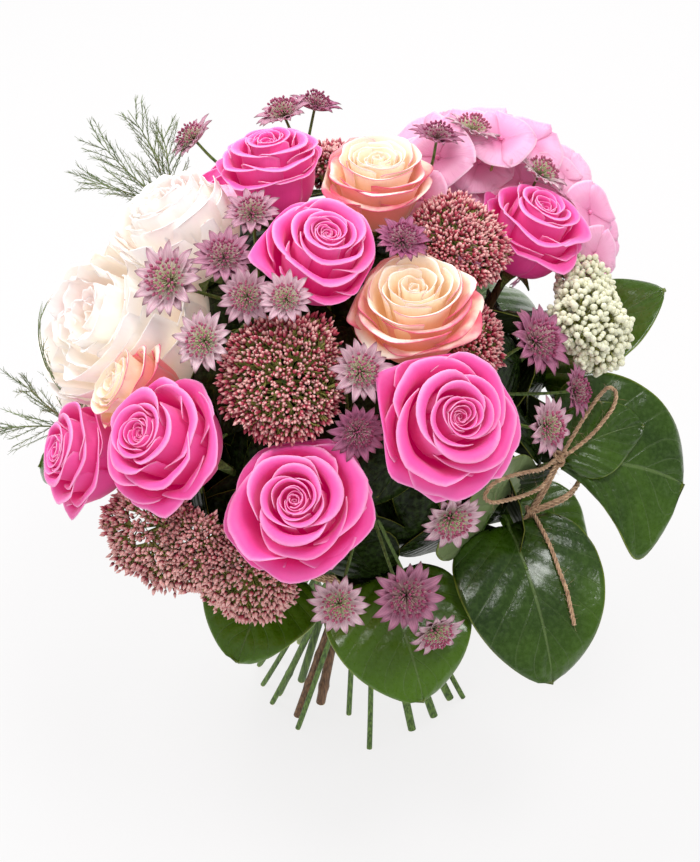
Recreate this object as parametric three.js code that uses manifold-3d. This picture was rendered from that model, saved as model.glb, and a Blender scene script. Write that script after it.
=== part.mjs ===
// A hand-tied bunch of roses with peonies, hydrangeas, stonecrop, rice flower and masterwort. Its stems
// cross in a spiral at a tied waist and splay below it, and it stands on their cut ends.
// Millimetres and degrees, +Z up. The origin is the cut end of the middle stem, where the bunch stands.
import * as THREE from "three";
import { mergeVertices } from "three/addons/utils/BufferGeometryUtils.js";
import Module from "manifold-3d";

const wasm = await Module();
wasm.setup();
const { Manifold, Mesh: SolidMesh } = wasm;

// ---------------------------------------------------------------- driving dimensions
const DOME_CENTRE = 245; // height of the middle of the flower dome
const SIDEWAYS = -18; // how far the dome stands to the side of the stem ends, along X
const WAIST = 115; // height at which the stems cross and are tied
const GAP = 0.3; // clearance between two pieces that touch
const BELOW = 6; // how far a stem is drawn below the surface before its end is cut flat
const LIFT = 30; // straight run of a stem above the waist

// Rings of stems: their distance from the middle at the waist, the radius at which they stand, and the
// room in degrees that each stem needs on its ring.
const RINGS = {
  middle: { radius: 2.9, foot: 0, room: 0 },
  inner: { radius: 8.3, foot: 25, room: 70 },
  second: { radius: 14.6, foot: 44, room: 26 },
  outer: { radius: 20.5, foot: 61, room: 17 },
  thin: { radius: 25, foot: 68, room: 13 },
};
const SPIRAL = 74; // how far round the waist a stem crosses ahead of its flower

// A flower's seat is a direction from the dome's centre (turn round +Z from +X, lean from +Z) and a
// distance out to the middle of the bloom. Its face is the direction that the bloom looks in. A nudge
// turns a stem on its ring, so that it lies against its neighbours where the bunch is tied.
const ROSES = [
  { name: "rose_pink_1", ring: "outer", seat: [-97, 71, 134], face: [-100, 34], size: 34, open: 1 },
  { name: "rose_pink_2", ring: "outer", seat: [-63, 56, 139], face: [-62, 42], size: 34.5, open: 1 },
  { name: "rose_pink_3", ring: "outer", seat: [-128, 65, 141], face: [-150, 42], size: 33, open: 0.8 },
  { name: "rose_pink_4", ring: "outer", seat: [-147, 79, 147], face: [-165, 62], size: 29, open: 0.6 },
  { name: "rose_pink_5", ring: "inner", seat: [-99, 18, 131], face: [-40, 18], size: 30, open: 0.7 },
  { name: "rose_pink_6", ring: "inner", seat: [150, 15, 134], face: [120, 14], size: 28, open: 0.4 },
  { name: "rose_pink_7", ring: "outer", seat: [8, 51, 136], face: [20, 36], size: 27, open: 0.5 },
  { name: "rose_pink_8", ring: "outer", seat: [114, 78, 134], face: [114, 74], size: 31, open: 0.8 },
  { name: "rose_cream_1", ring: "second", seat: [-55, 33, 122], face: [-110, 4], size: 33, open: 1 },
  {
    name: "rose_cream_2",
    ring: "middle",
    nudge: 126,
    seat: [24, 10, 130],
    face: [70, 7],
    size: 29,
    open: 0.6,
  },
  { name: "rose_cream_3", ring: "second", seat: [-145, 62, 132], face: [-170, 55], size: 27, open: 0.5 },
  {
    name: "rose_cream_4",
    ring: "outer",
    nudge: 10,
    seat: [72, 80, 134],
    face: [72, 76],
    size: 30,
    open: 0.8,
  },
];
const PEONIES = [
  { name: "peony_1", ring: "outer", seat: [-168, 60, 120], face: [-160, 50], size: 50, open: 1 },
  { name: "peony_2", ring: "second", seat: [180, 36, 130], face: [160, 30], size: 36, open: 0.4 },
];
const HYDRANGEAS = [
  { name: "hydrangea_1", ring: "second", seat: [23, 49, 110], face: [26, 44], size: 54, florets: 15 },
  { name: "hydrangea_2", ring: "second", seat: [140, 72, 100], face: [140, 64], size: 46, florets: 12 },
];
// Stonecrop heads: each lobe is a flat-topped cluster of buds.
const STONECROPS = [
  { name: "stonecrop_1", ring: "second", lobes: [{ seat: [-105, 45, 126], face: [-105, 38], size: 32 }] },
  {
    name: "stonecrop_2",
    ring: "outer",
    lobes: [
      { seat: [-130, 88, 140], face: [-132, 70], size: 31 },
      { seat: [-108, 91, 137], face: [-105, 75], size: 28 },
    ],
  },
  {
    name: "stonecrop_3",
    ring: "second",
    lobes: [
      { seat: [-13, 29, 128], face: [-20, 24], size: 27 },
      { seat: [-38, 46, 116], face: [-40, 38], size: 20 },
    ],
  },
  {
    name: "stonecrop_4",
    ring: "outer",
    nudge: 6,
    lobes: [{ seat: [92, 52, 118], face: [92, 46], size: 28 }],
  },
];
const RICE_FLOWER = { name: "rice_flower", ring: "outer", seat: [-9, 64, 144], face: [-10, 52], size: 25 };
// Masterwort sprays: one stem that branches to several small starry blooms.
const MASTERWORTS = [
  {
    name: "masterwort_1",
    ring: "second",
    fork: [-138, 30, 90],
    blooms: [
      { seat: [-148, 38, 148], face: [-130, 42], size: 14 },
      { seat: [-127, 43, 146], face: [-120, 46], size: 13 },
      { seat: [-138, 28, 146], face: [-80, 20], size: 13 },
      { seat: [-122, 32, 142], face: [-100, 50], size: 12 },
      { seat: [-152, 18, 142], face: [-100, 12], size: 12 },
    ],
  },
  {
    name: "masterwort_2",
    ring: "second",
    fork: [122, 24, 92],
    blooms: [
      { seat: [114, 25, 150], face: [150, 20], size: 13 },
      { seat: [98, 28, 150], face: [60, 24], size: 12 },
      { seat: [146, 34, 154], face: [170, 40], size: 12 },
    ],
  },
  {
    name: "masterwort_3",
    ring: "second",
    fork: [32, 24, 92],
    blooms: [
      { seat: [34, 24, 152], face: [60, 20], size: 12 },
      { seat: [38, 35, 156], face: [50, 30], size: 13 },
      { seat: [22, 46, 158], face: [20, 34], size: 13 },
      { seat: [-46, 20, 138], face: [-40, 16], size: 12 },
    ],
  },
  {
    name: "masterwort_4",
    ring: "second",
    fork: [-85, 38, 90],
    blooms: [
      { seat: [-82, 43, 136], face: [-60, 42], size: 13 },
      { seat: [-84, 55, 134], face: [-75, 60], size: 12 },
      { seat: [-106, 31, 150], face: [-90, 30], size: 11 },
    ],
  },
  {
    name: "masterwort_5",
    ring: "outer",
    fork: [-38, 62, 88],
    blooms: [
      { seat: [-30, 53, 142], face: [-30, 44], size: 16 },
      { seat: [-39, 68, 144], face: [-40, 60], size: 13 },
      { seat: [-25, 69, 142], face: [-20, 66], size: 12 },
      { seat: [-66, 76, 142], face: [-70, 82], size: 14 },
    ],
  },
  {
    name: "masterwort_6",
    ring: "outer",
    nudge: -3,
    fork: [-80, 82, 88],
    blooms: [
      { seat: [-76, 91, 147], face: [-72, 62], size: 16 },
      { seat: [-89, 92, 146], face: [-95, 62], size: 13 },
      { seat: [-69, 107, 149], face: [-66, 92], size: 13 },
    ],
  },
];
// Collar leaves: where the blade starts (turn, radius, height), the way it points, the pitch that it
// bends from and to, and its roll to one side.
const LEAVES = [
  { name: "leaf_1", from: [-36, 113, 206], way: -72, pitch: [0, -66], length: 90, width: 80, roll: 0 },
  { name: "leaf_2", from: [-17, 126, 222], way: 4, pitch: [6, -40], length: 74, width: 98, roll: 38 },
  { name: "leaf_3", from: [14, 118, 225], way: 13, pitch: [50, 24], length: 84, width: 66, roll: 0 },
  {
    name: "leaf_4",
    nudge: 9,
    from: [-76, 98, 197],
    way: -68,
    pitch: [0, -58],
    length: 70,
    width: 78,
    roll: 0,
  },
  {
    name: "leaf_5",
    nudge: 3,
    from: [-109, 96, 194],
    way: -112,
    pitch: [2, -34],
    length: 52,
    width: 62,
    roll: 0,
  },
  { name: "leaf_6", from: [-42, 104, 206], way: -42, pitch: [72, 98], length: 54, width: 78, roll: 0 },
  { name: "leaf_7", from: [-12, 98, 176], way: -20, pitch: [-4, -36], length: 52, width: 50, roll: 0 },
  { name: "leaf_8", from: [54, 104, 204], way: 54, pitch: [16, -44], length: 84, width: 84, roll: 0 },
  { name: "leaf_9", from: [116, 104, 202], way: 116, pitch: [14, -46], length: 84, width: 82, roll: 0 },
  {
    name: "leaf_10",
    nudge: 3,
    from: [178, 104, 198],
    way: 178,
    pitch: [4, -46],
    length: 72,
    width: 74,
    roll: 0,
  },
];
const PETIOLES_MEET = 150; // height at which the petioles leave the straight run of the stems
// Asparagus fern: one wiry stem that ends in flat feathery fronds.
const FERNS = [
  {
    name: "fern_1",
    fork: [158, 44, 132],
    fronds: [
      { turn: 130, lean: 18, length: 58 },
      { turn: 158, lean: 40, length: 66 },
      { turn: 178, lean: 60, length: 60 },
    ],
  },
  {
    name: "fern_2",
    nudge: -3,
    fork: [-163, 86, 142],
    fronds: [
      { turn: -150, lean: 26, length: 56 },
      { turn: -164, lean: 78, length: 56 },
    ],
  },
];
// Jute twine. The stem tie is three turns round the waist. The cuff is two strands side by side round
// the outside of the leaf stalks, given as [turn, radius, height], from a knot at its first point and
// back to it. Two strands run from that knot up to the knot of the bow.
const TWINE = 2.5; // diameter of the twine
const CUFF = [
  [-29, 119, 207], [-20, 134, 209], [-10, 136, 208], [4, 124, 203], [28, 111, 196], [54, 107, 190],
  [86, 106, 188], [116, 107, 188], [148, 106, 186], [178, 107, 186], [-150, 106, 184], [-130, 104, 182],
  [-107, 101, 182], [-90, 101, 184], [-76, 104, 185], [-58, 108, 188], [-44, 113, 192],
];
const BOW = [-20, 126, 234]; // the knot of the bow
// Free lengths of twine, as [x, y, z] along each: the two loops of the bow and the long tail.
const FREE_TWINE = {
  bow_loop_left: [
    [97.3, -47, 236.2], [90, -57, 240], [80, -65, 246], [70, -72, 250], [61, -79, 251], [58, -83, 247],
    [62, -82, 242], [70, -77, 238], [80, -70, 234], [90, -61, 231], [97.9, -47.6, 231.9],
  ],
  bow_loop_right: [
    [102.3, -43, 238.8], [108, -37, 247], [114, -29, 252], [121, -20, 256], [127, -14, 257],
    [131, -14, 253], [130, -19, 249], [124, -27, 245], [116, -35, 241], [105.2, -41.8, 235.9],
  ],
  tail_long: [
    [87.5, -62, 209.6], [90, -69, 209.3], [93, -77, 208.3], [96, -86, 206.2], [99, -95, 202],
    [102, -103, 198], [104, -110, 192.5], [106, -117, 186],
  ],
};

// ---------------------------------------------------------------- colours of the materials
const finish = (color, roughness) => new THREE.MeshStandardMaterial({ color, roughness, metalness: 0 });
const PINK = finish(0xe8559f, 0.6);
const CREAM = finish(0xf6dfc0, 0.6);
const BLUSH = finish(0xf7eef0, 0.6);
const PALE_PINK = finish(0xf0a8cd, 0.6);
const DUSKY = finish(0xb86578, 0.75);
const IVORY = finish(0xdcdcc8, 0.7);
const MAUVE = finish(0xa2688c, 0.75);
const STALK = finish(0x6f8b45, 0.6);
const LEAF = finish(0x2f5a1e, 0.35);
const FERN = finish(0x6d8a4a, 0.7);
const JUTE = finish(0xa9815c, 0.95);

// ---------------------------------------------------------------- directions and solids
const radians = THREE.MathUtils.degToRad;
const UP = new THREE.Vector3(0, 0, 1);
const flat = (turn) => new THREE.Vector3(Math.cos(radians(turn)), Math.sin(radians(turn)), 0);
const direction = (turn, lean) =>
  flat(turn).multiplyScalar(Math.sin(radians(lean))).addScaledVector(UP, Math.cos(radians(lean)));
// The middle of the bunch at a height: it leans to the side up to the waist, and stands upright above.
const middleAt = (height) => new THREE.Vector3(SIDEWAYS * Math.min(1, height / WAIST), 0, height);
const seatPoint = ([turn, lean, out]) => direction(turn, lean).multiplyScalar(out).add(middleAt(DOME_CENTRE));
const ringPoint = ([turn, radius, height]) => flat(turn).multiplyScalar(radius).add(middleAt(height));

function solidOf(geometry) {
  const bare = geometry.index ? geometry.toNonIndexed() : geometry.clone();
  bare.deleteAttribute("normal");
  bare.deleteAttribute("uv");
  const merged = mergeVertices(bare, 1e-4);
  const solid = new Manifold(
    new SolidMesh({
      numProp: 3,
      vertProperties: merged.attributes.position.array,
      triVerts: new Uint32Array(merged.index.array),
    }),
  );
  if (solid.volume() < 0) throw new Error("a shape is inside out");
  return solid;
}

function geometryOf(solid) {
  const { numProp, numVert, vertProperties, triVerts } = solid.getMesh();
  const position = new Float32Array(numVert * 3);
  for (let i = 0; i < numVert; i++) {
    position.set(vertProperties.subarray(i * numProp, i * numProp + 3), i * 3);
  }
  const geometry = new THREE.BufferGeometry();
  geometry.setAttribute("position", new THREE.BufferAttribute(position, 3));
  geometry.setIndex(new THREE.BufferAttribute(triVerts, 1));
  return geometry;
}

// Joins solids into one, and drops what a cut has left loose.
function fuse(solids) {
  const bodies = Manifold.union(solids).decompose();
  return bodies.reduce((kept, body) => (body.volume() > kept.volume() ? body : kept));
}

// Turns a shape's own +Z to the axis given, after a spin about it, and moves its origin to the point.
function placement(point, axis, spin = 0) {
  const turned = new THREE.Quaternion().setFromUnitVectors(UP, axis);
  turned.multiply(new THREE.Quaternion().setFromAxisAngle(UP, radians(spin)));
  return new THREE.Matrix4().compose(point, turned, new THREE.Vector3(1, 1, 1));
}

// ---------------------------------------------------------------- tubes, blades and bossed domes
function tube(points, radius, sides = 5, steps = 7) {
  const section = new THREE.Shape(
    Array.from({ length: sides }, (_, i) => {
      const angle = (2 * Math.PI * i) / sides;
      return new THREE.Vector2(radius * Math.cos(angle), radius * Math.sin(angle));
    }),
  );
  const extrudePath = new THREE.CatmullRomCurve3(points, false, "centripetal");
  return solidOf(new THREE.ExtrudeGeometry(section, { steps, extrudePath }));
}

// A closed blade with sharp edges on a middle surface(u, v), where u runs across and v along from the root.
// Both faces are split into triangles alike.
function blade(surface, thickness, across, along) {
  const vertices = [];
  const faces = [];
  const step = 1e-3;
  const edge = (i, j) => i === 0 || j === 0 || i === across || j === along;
  const index = [[], []];
  for (let j = 0; j <= along; j++) {
    for (let i = 0; i <= across; i++) {
      const [u, v] = [(2 * i) / across - 1, j / along];
      const middle = surface(u, v);
      const key = j * (across + 1) + i;
      if (edge(i, j)) {
        index[0][key] = index[1][key] = vertices.push(middle) - 1;
        continue;
      }
      const normal = surface(u + step, v).sub(surface(u - step, v));
      normal.cross(surface(u, v + step).sub(surface(u, v - step))).normalize();
      index[0][key] = vertices.push(middle.clone().addScaledVector(normal, thickness / 2)) - 1;
      index[1][key] = vertices.push(middle.clone().addScaledVector(normal, -thickness / 2)) - 1;
    }
  }
  for (let j = 0; j < along; j++) {
    for (let i = 0; i < across; i++) {
      const a = j * (across + 1) + i;
      const [b, c, d] = [a + 1, a + across + 2, a + across + 1];
      const straight = i < across / 2 === j < along / 2;
      const halves = straight ? [[a, b, c], [a, c, d]] : [[a, b, d], [b, c, d]];
      for (const [p, q, r] of halves) {
        faces.push(index[0][p], index[0][q], index[0][r]);
        faces.push(index[1][p], index[1][r], index[1][q]);
      }
    }
  }
  return closed(vertices, faces);
}

// A geometry of shared vertices and triangles, turned so that its faces point out.
function closed(vertices, faces) {
  let volume = 0;
  for (let i = 0; i < faces.length; i += 3) {
    const [a, b, c] = [0, 1, 2].map((k) => vertices[faces[i + k]]);
    volume += a.dot(new THREE.Vector3().crossVectors(b, c));
  }
  if (volume < 0) faces.reverse();
  const geometry = new THREE.BufferGeometry().setFromPoints(vertices);
  geometry.setIndex(faces);
  return geometry;
}

// A dome of rings round +Z whose every other corner stands out, with a point underneath. The profile
// gives each ring's [radius, height, boss]: the boss is how far its raised corners stand out.
function bossedDome(profile, sides, top, bottom) {
  const vertices = [new THREE.Vector3(0, 0, top)];
  const faces = [];
  const outward = new THREE.Vector3();
  profile.forEach(([radius, height, boss], ring) => {
    for (let k = 0; k < sides; k++) {
      const angle = (2 * Math.PI * k) / sides;
      const point = new THREE.Vector3(radius * Math.cos(angle), radius * Math.sin(angle), height);
      outward.copy(point).setZ(Math.max(height, 0) + radius * 0.2).normalize();
      vertices.push(point.addScaledVector(outward, (k + ring) % 2 ? boss : 0));
    }
  });
  vertices.push(new THREE.Vector3(0, 0, bottom));
  const at = (ring, k) => 1 + ring * sides + (k % sides);
  const last = vertices.length - 1;
  for (let k = 0; k < sides; k++) {
    faces.push(0, at(0, k), at(0, k + 1));
    for (let ring = 0; ring < profile.length - 1; ring++) {
      const [a, b, c, d] = [at(ring, k), at(ring, k + 1), at(ring + 1, k + 1), at(ring + 1, k)];
      if ((k + ring) % 2) faces.push(a, d, c, a, c, b);
      else faces.push(a, d, b, b, d, c);
    }
    faces.push(last, at(profile.length - 1, k + 1), at(profile.length - 1, k));
  }
  return closed(vertices, faces);
}

// A thin star or floret round +Z: an outline of [radius, height] points, fanned from a raised middle.
function fannedStar(outline, upper, lower) {
  const vertices = [new THREE.Vector3(0, 0, upper), new THREE.Vector3(0, 0, lower)];
  const faces = [];
  outline.forEach(([radius, height], k) => {
    const angle = (2 * Math.PI * k) / outline.length;
    vertices.push(new THREE.Vector3(radius * Math.cos(angle), radius * Math.sin(angle), height));
  });
  for (let k = 0; k < outline.length; k++) {
    const [a, b] = [2 + k, 2 + ((k + 1) % outline.length)];
    faces.push(0, a, b, 1, b, a);
  }
  return closed(vertices, faces);
}

// ---------------------------------------------------------------- roses and peonies
// A bloom is one closed surface of rings round its axis, drawn at a unit size and then scaled. Petals
// stand up in layers, with a groove inside each layer. At a rim, a petal's tip reaches out, its shoulders
// fall away by the notch, and its two edges lap: one over its neighbour and one under.
const UNIT = 34; // radius of an open bloom as it is drawn
const BLOOM_HEIGHT = 50; // from the flat foot of the bloom to the tip of its heart
const FOOT_RADIUS = 4.5; // flat round under the bloom, which sits on its calyx

function rosette({ rings, petals, perPetal, heart }) {
  const columns = petals * perPetal;
  const vertices = [new THREE.Vector3(0, 0, 0)];
  const faces = [];
  for (const { at: [radius, height], lap = 0, notch = 0, tip = 0, shift = 0 } of rings) {
    for (let k = 0; k < columns; k++) {
      const u = (2 * ((k + shift) % perPetal)) / (perPetal - 1) - 1;
      const angle = (2 * Math.PI * (k + (lap ? 0.4 * u : 0))) / columns;
      const reach = radius + lap * u + tip * (1 - Math.abs(u));
      const [x, y] = [reach * Math.cos(angle), reach * Math.sin(angle)];
      vertices.push(new THREE.Vector3(x, y, height - notch * u * u));
    }
  }
  vertices.push(new THREE.Vector3(0, 0, heart));
  const last = vertices.length - 1;
  const at = (ring, k) => 1 + ring * columns + (k % columns);
  for (let k = 0; k < columns; k++) {
    faces.push(0, at(0, k + 1), at(0, k), last, at(rings.length - 1, k), at(rings.length - 1, k + 1));
    for (let ring = 0; ring < rings.length - 1; ring++) {
      const [a, b, c, d] = [at(ring, k), at(ring, k + 1), at(ring + 1, k + 1), at(ring + 1, k)];
      faces.push(a, b, c, a, c, d);
    }
  }
  return closed(vertices, faces);
}

const roseShape = (open) => ({
  petals: 5,
  perPetal: 3,
  heart: 43,
  rings: [
    { at: [FOOT_RADIUS, 0] },
    { at: [18, 4], lap: 0.6 },
    { at: [24, 17], lap: 1.6, notch: 1 },
    { at: [29 + 5 * open, 41 - 10 * open], lap: 2, notch: 8, tip: 2.5 },
    { at: [22.5, 30], lap: 1.5, notch: 5 },
    { at: [20, 17] },
    { at: [20.5 + open, 43 - 2 * open], lap: 1.8, notch: 6, tip: 1.5, shift: 1 },
    { at: [15.5, 27], shift: 1 },
    { at: [15, 47], lap: 1.7, notch: 4, tip: 1, shift: 2 },
    { at: [10, 34], shift: 2 },
    { at: [8.5, 50], lap: 1.5, notch: 2.5, tip: 0.5 },
  ],
});
const peonyShape = (open) => ({
  petals: 5,
  perPetal: 4,
  heart: 36,
  rings: [
    { at: [FOOT_RADIUS, 0] },
    { at: [20, 2], lap: 0.6 },
    { at: [29, 14], lap: 1.6, notch: 1 },
    { at: [29 + 7 * open, 40 - 8 * open], lap: 2.5, notch: 9, tip: -1 },
    { at: [26, 27], lap: 1.5, notch: 5 },
    { at: [23.5, 14] },
    { at: [24 + 3 * open, 44 - 3 * open], lap: 2, notch: 8, tip: -1, shift: 2 },
    { at: [18, 22], shift: 2 },
    { at: [18 + open, 49], lap: 2, notch: 8, tip: -1, shift: 1 },
    { at: [12, 30], shift: 1 },
    { at: [10.5, 48], lap: 1.8, notch: 7, shift: 3 },
    { at: [6, 34], shift: 3 },
  ],
});

function layeredBloom({ size, seat, face }, shape, spin) {
  const scale = size / UNIT;
  const axis = direction(...face);
  const centre = seatPoint(seat);
  const base = centre.clone().addScaledVector(axis, -BLOOM_HEIGHT * scale * 0.5);
  const placed = placement(base, axis, spin).scale(new THREE.Vector3(scale, scale, scale));
  return { solid: solidOf(rosette(shape).applyMatrix4(placed)), centre, base, axis, radius: size * 0.95 };
}

// ---------------------------------------------------------------- round and flat heads
const GOLDEN = 137.508;

// A hydrangea: a round core that four-petalled florets stand out of, each on a short stalk.
function hydrangeaHead({ seat, face, size, florets }) {
  const axis = direction(...face);
  const centre = seatPoint(seat);
  const lobe = size * 0.37;
  const outline = Array.from({ length: 12 }, (_, k) => [[lobe * 0.42, 0], [lobe, 1], [lobe, 1.5]][k % 3]);
  const core = new THREE.IcosahedronGeometry(size * 0.84, 1);
  core.scale(1, 1, 0.8).applyMatrix4(placement(centre, axis));
  const shapes = [core];
  for (let k = 0; k < florets; k++) {
    const height = 1 - (1.6 * (k + 0.5)) / florets;
    const out = direction(k * GOLDEN, THREE.MathUtils.radToDeg(Math.acos(height)));
    const at = out.clone().multiply(new THREE.Vector3(1, 1, 0.82)).multiplyScalar(size * 0.97);
    const stalk = new THREE.ConeGeometry(2.5, 12, 3).rotateX(Math.PI / 2).translate(0, 0, -5.6);
    for (const shape of [fannedStar(outline, 1.2, -1.8), stalk]) {
      shapes.push(shape.applyMatrix4(placement(at, out, k * 40)).applyMatrix4(placement(centre, axis)));
    }
  }
  const base = centre.clone().addScaledVector(axis, -size * 0.68 - GAP);
  return { solid: fuse(shapes.map(solidOf)), centre, base, axis, radius: size };
}

function stonecropLobe({ seat, face, size }) {
  const axis = direction(...face);
  const centre = seatPoint(seat);
  const bud = 3.4; // a pointed bud stands this far out of the cluster
  const profile = [
    [0.26, 0.4], [0.52, 0.33], [0.76, 0.18], [0.9, -0.05], [0.68, -0.26],
  ].map(([x, y], ring) => [size * x, size * y, ring < 4 ? bud : 0]);
  const shape = bossedDome(profile, 14, size * 0.44, -size * 0.5);
  const solid = solidOf(shape.applyMatrix4(placement(centre, axis)));
  return { solid, centre, base: centre.clone().addScaledVector(axis, -size * 0.45), axis, radius: size };
}

function riceFlowerHead({ seat, face, size }) {
  const axis = direction(...face);
  const centre = seatPoint(seat);
  const bead = 2.6;
  const profile = [
    [0.3, 0.6], [0.6, 0.48], [0.82, 0.24], [0.9, -0.06], [0.66, -0.34],
  ].map(([x, y], ring) => [size * x, size * y, ring < 4 ? bead : 0]);
  const shape = bossedDome(profile, 14, size * 0.66, -size * 0.6);
  const solid = solidOf(shape.applyMatrix4(placement(centre, axis)));
  return { solid, centre, base: centre.clone().addScaledVector(axis, -size * 0.55), axis, radius: size };
}

// A masterwort bloom: a ruff of eight pointed bracts round a domed cluster of florets, in one surface.
function masterwortBloom({ seat, face, size }, k) {
  const axis = direction(...face);
  const centre = seatPoint(seat);
  const bracts = 8;
  const corner = (radius, height, angle) => {
    return new THREE.Vector3(radius * Math.cos(angle), radius * Math.sin(angle), height);
  };
  const vertices = [corner(0, 7.5, 0), corner(0, -2.4, 0)];
  for (let i = 0; i < bracts; i++) {
    const angle = (2 * Math.PI * i) / bracts;
    const next = Math.PI / bracts;
    vertices.push(corner(size * 0.42, i % 2 ? 6.4 : 4.6, angle)); // shoulder of the cluster
    vertices.push(corner(size * 0.56, 1.2, angle)); // notch between two bracts
    vertices.push(corner(size, 3.6, angle + next)); // tip of a bract
  }
  const faces = [];
  for (let i = 0; i < bracts; i++) {
    const [shoulder, notch, tip] = [2, 3, 4].map((at) => at + 3 * i);
    const [shoulder2, notch2] = [2, 3].map((at) => at + 3 * ((i + 1) % bracts));
    faces.push(0, shoulder, shoulder2, shoulder, notch, tip);
    faces.push(shoulder, tip, shoulder2, shoulder2, tip, notch2);
    faces.push(1, tip, notch, 1, notch2, tip);
  }
  const solid = solidOf(closed(vertices, faces).applyMatrix4(placement(centre, axis, k * 11)));
  return { solid, centre, base: centre.clone().addScaledVector(axis, -1), axis, radius: size };
}

// ---------------------------------------------------------------- stems
// Where a stem is at a height below the end of its straight run: those of a ring are a family of straight
// lines that cross the waist side by side and never meet. The middle stem leans from its foot to its ring.
function straightRun({ radius, foot }, slot) {
  const start = Math.min(radius, foot);
  const reach = Math.sqrt(foot ** 2 - start ** 2);
  return (height) =>
    flat(slot)
      .multiplyScalar(start + ((radius - start) * height) / WAIST)
      .addScaledVector(flat(slot + 90), (reach * (height - WAIST)) / WAIST)
      .add(middleAt(height));
}

function stemRoute(item, end, axis, neck) {
  const run = straightRun(RINGS[item.ring], item.slot);
  const before = end.clone().addScaledVector(axis, -neck);
  const above = run(WAIST + LIFT);
  return [run(-BELOW), run(WAIST * 0.5), run(WAIST), above, before, end];
}

const surfaceCut = solidOf(new THREE.BoxGeometry(400, 400, 40).translate(0, 0, -20));
const stemSolid = (route, radius, sides, steps) => tube(route, radius, sides, steps).subtract(surfaceCut);

// The calyx under a rose or peony: five pointed sepals that stand away from a stout middle.
function calyx(end, axis, reach) {
  const outline = Array.from({ length: 10 }, (_, k) => (k % 2 ? [reach, -6.5] : [3.8, -2.5]));
  return solidOf(fannedStar(outline, 0, -11).applyMatrix4(placement(end, axis)));
}

// Stems on one ring cross the waist in the order of their flowers round the bunch, each as near to its
// own flower's turn as the room on the ring allows.
function shareOutSlots(items) {
  for (const [ring, { room }] of Object.entries(RINGS)) {
    const sharing = items.filter((item) => item.ring === ring).sort((a, b) => a.turn - b.turn);
    for (const item of sharing) item.slot = item.turn - SPIRAL;
    for (let pass = 0; pass < 200; pass++) {
      sharing.forEach((item, k) => {
        const next = sharing[(k + 1) % sharing.length];
        const apart = THREE.MathUtils.euclideanModulo(next.slot - item.slot, 360);
        const push = Math.max(0, room - apart) / 2;
        item.slot -= push;
        next.slot += push;
      });
    }
    for (const item of sharing) item.slot += item.nudge ?? 0;
  }
}

// ---------------------------------------------------------------- leaves, ferns and twine
// A leaf's middle surface: a midrib that bends from one pitch to another, and a rounded blade that is
// wavy at its edge and creased along the midrib.
function leafSurface({ from, way, pitch, length, width, roll }) {
  const start = ringPoint(from);
  const out = flat(way);
  const side = new THREE.Vector3().crossVectors(UP, out);
  const bend = (v) => radians(pitch[0] + (pitch[1] - pitch[0]) * v);
  const midrib = (v) => {
    const point = start.clone();
    const parts = 8;
    for (let k = 0; k < parts; k++) {
      const angle = bend((v * (k + 0.5)) / parts);
      point.addScaledVector(out, (length * v * Math.cos(angle)) / parts);
      point.addScaledVector(UP, (length * v * Math.sin(angle)) / parts);
    }
    return point;
  };
  return (u, v) => {
    const along = out.clone().multiplyScalar(Math.cos(bend(v))).addScaledVector(UP, Math.sin(bend(v)));
    const across = side.clone().applyAxisAngle(along, radians(roll));
    const normal = new THREE.Vector3().crossVectors(along, across);
    const half = (width / 2) * Math.sin(Math.PI * (0.06 + 0.94 * v) ** 0.72) ** 0.6;
    const lift = 0.16 * half * Math.abs(u) - 0.12 * half * u * u + 2 * Math.sin(9 * v + 2 * u) * u * u;
    return midrib(v).addScaledVector(across, u * half).addScaledVector(normal, lift);
  };
}

// A flat fern frond: a rib with slim leaflets along both sides, laid from a point along its way.
function frond(start, way, length) {
  const pairs = 5;
  const reach = 13;
  const thickness = 0.9;
  const side = (sign) =>
    Array.from({ length: pairs }, (_, k) => {
      const root = (length * (k + 0.3)) / pairs;
      const leaflet = reach * (1 - (0.5 * k) / pairs);
      return [[root, sign * 0.6], [root + 0.8 * leaflet, sign * leaflet * 0.8], [root + 1.8, sign * 0.6]];
    }).flat();
  const points = [[-4, -0.8], ...side(-1), [length, 0], ...side(1).reverse(), [-4, 0.8]];
  const shape = new THREE.Shape(points.map(([x, y]) => new THREE.Vector2(x, y)));
  const leafy = new THREE.ExtrudeGeometry(shape, { depth: thickness, bevelEnabled: false });
  const across = new THREE.Vector3().crossVectors(UP, way).normalize();
  const face = new THREE.Vector3().crossVectors(way, across);
  const basis = new THREE.Matrix4().makeBasis(way, across, face).setPosition(start);
  return solidOf(leafy.translate(0, 0, -thickness / 2).applyMatrix4(basis));
}

// The tie round the waist: a ring of three turns of twine.
function waistTie() {
  const turns = 3;
  const inner = RINGS.thin.radius + 2.9;
  const profile = [[inner, (-turns / 2) * TWINE]];
  for (let k = 0; k < turns; k++) {
    const middle = (k - (turns - 1) / 2) * TWINE;
    profile.push([inner + TWINE * 0.7, middle - TWINE * 0.42], [inner + TWINE, middle]);
  }
  profile.push([inner + TWINE * 0.7, (turns / 2) * TWINE], [inner, (turns / 2) * TWINE]);
  profile.push(profile[0]);
  const ring = new THREE.LatheGeometry(profile.map(([x, y]) => new THREE.Vector2(x, y)), 20);
  return solidOf(ring.rotateX(Math.PI / 2).translate(SIDEWAYS, 0, WAIST));
}

// ---------------------------------------------------------------- the pieces of each node
const materials = new Map(); // every node's name and material, in order
const heads = []; // flower heads, which give way to their neighbours and to the stems of others
const stems = []; // stems and branches
const others = []; // calyces, blades, fronds and twine

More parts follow.
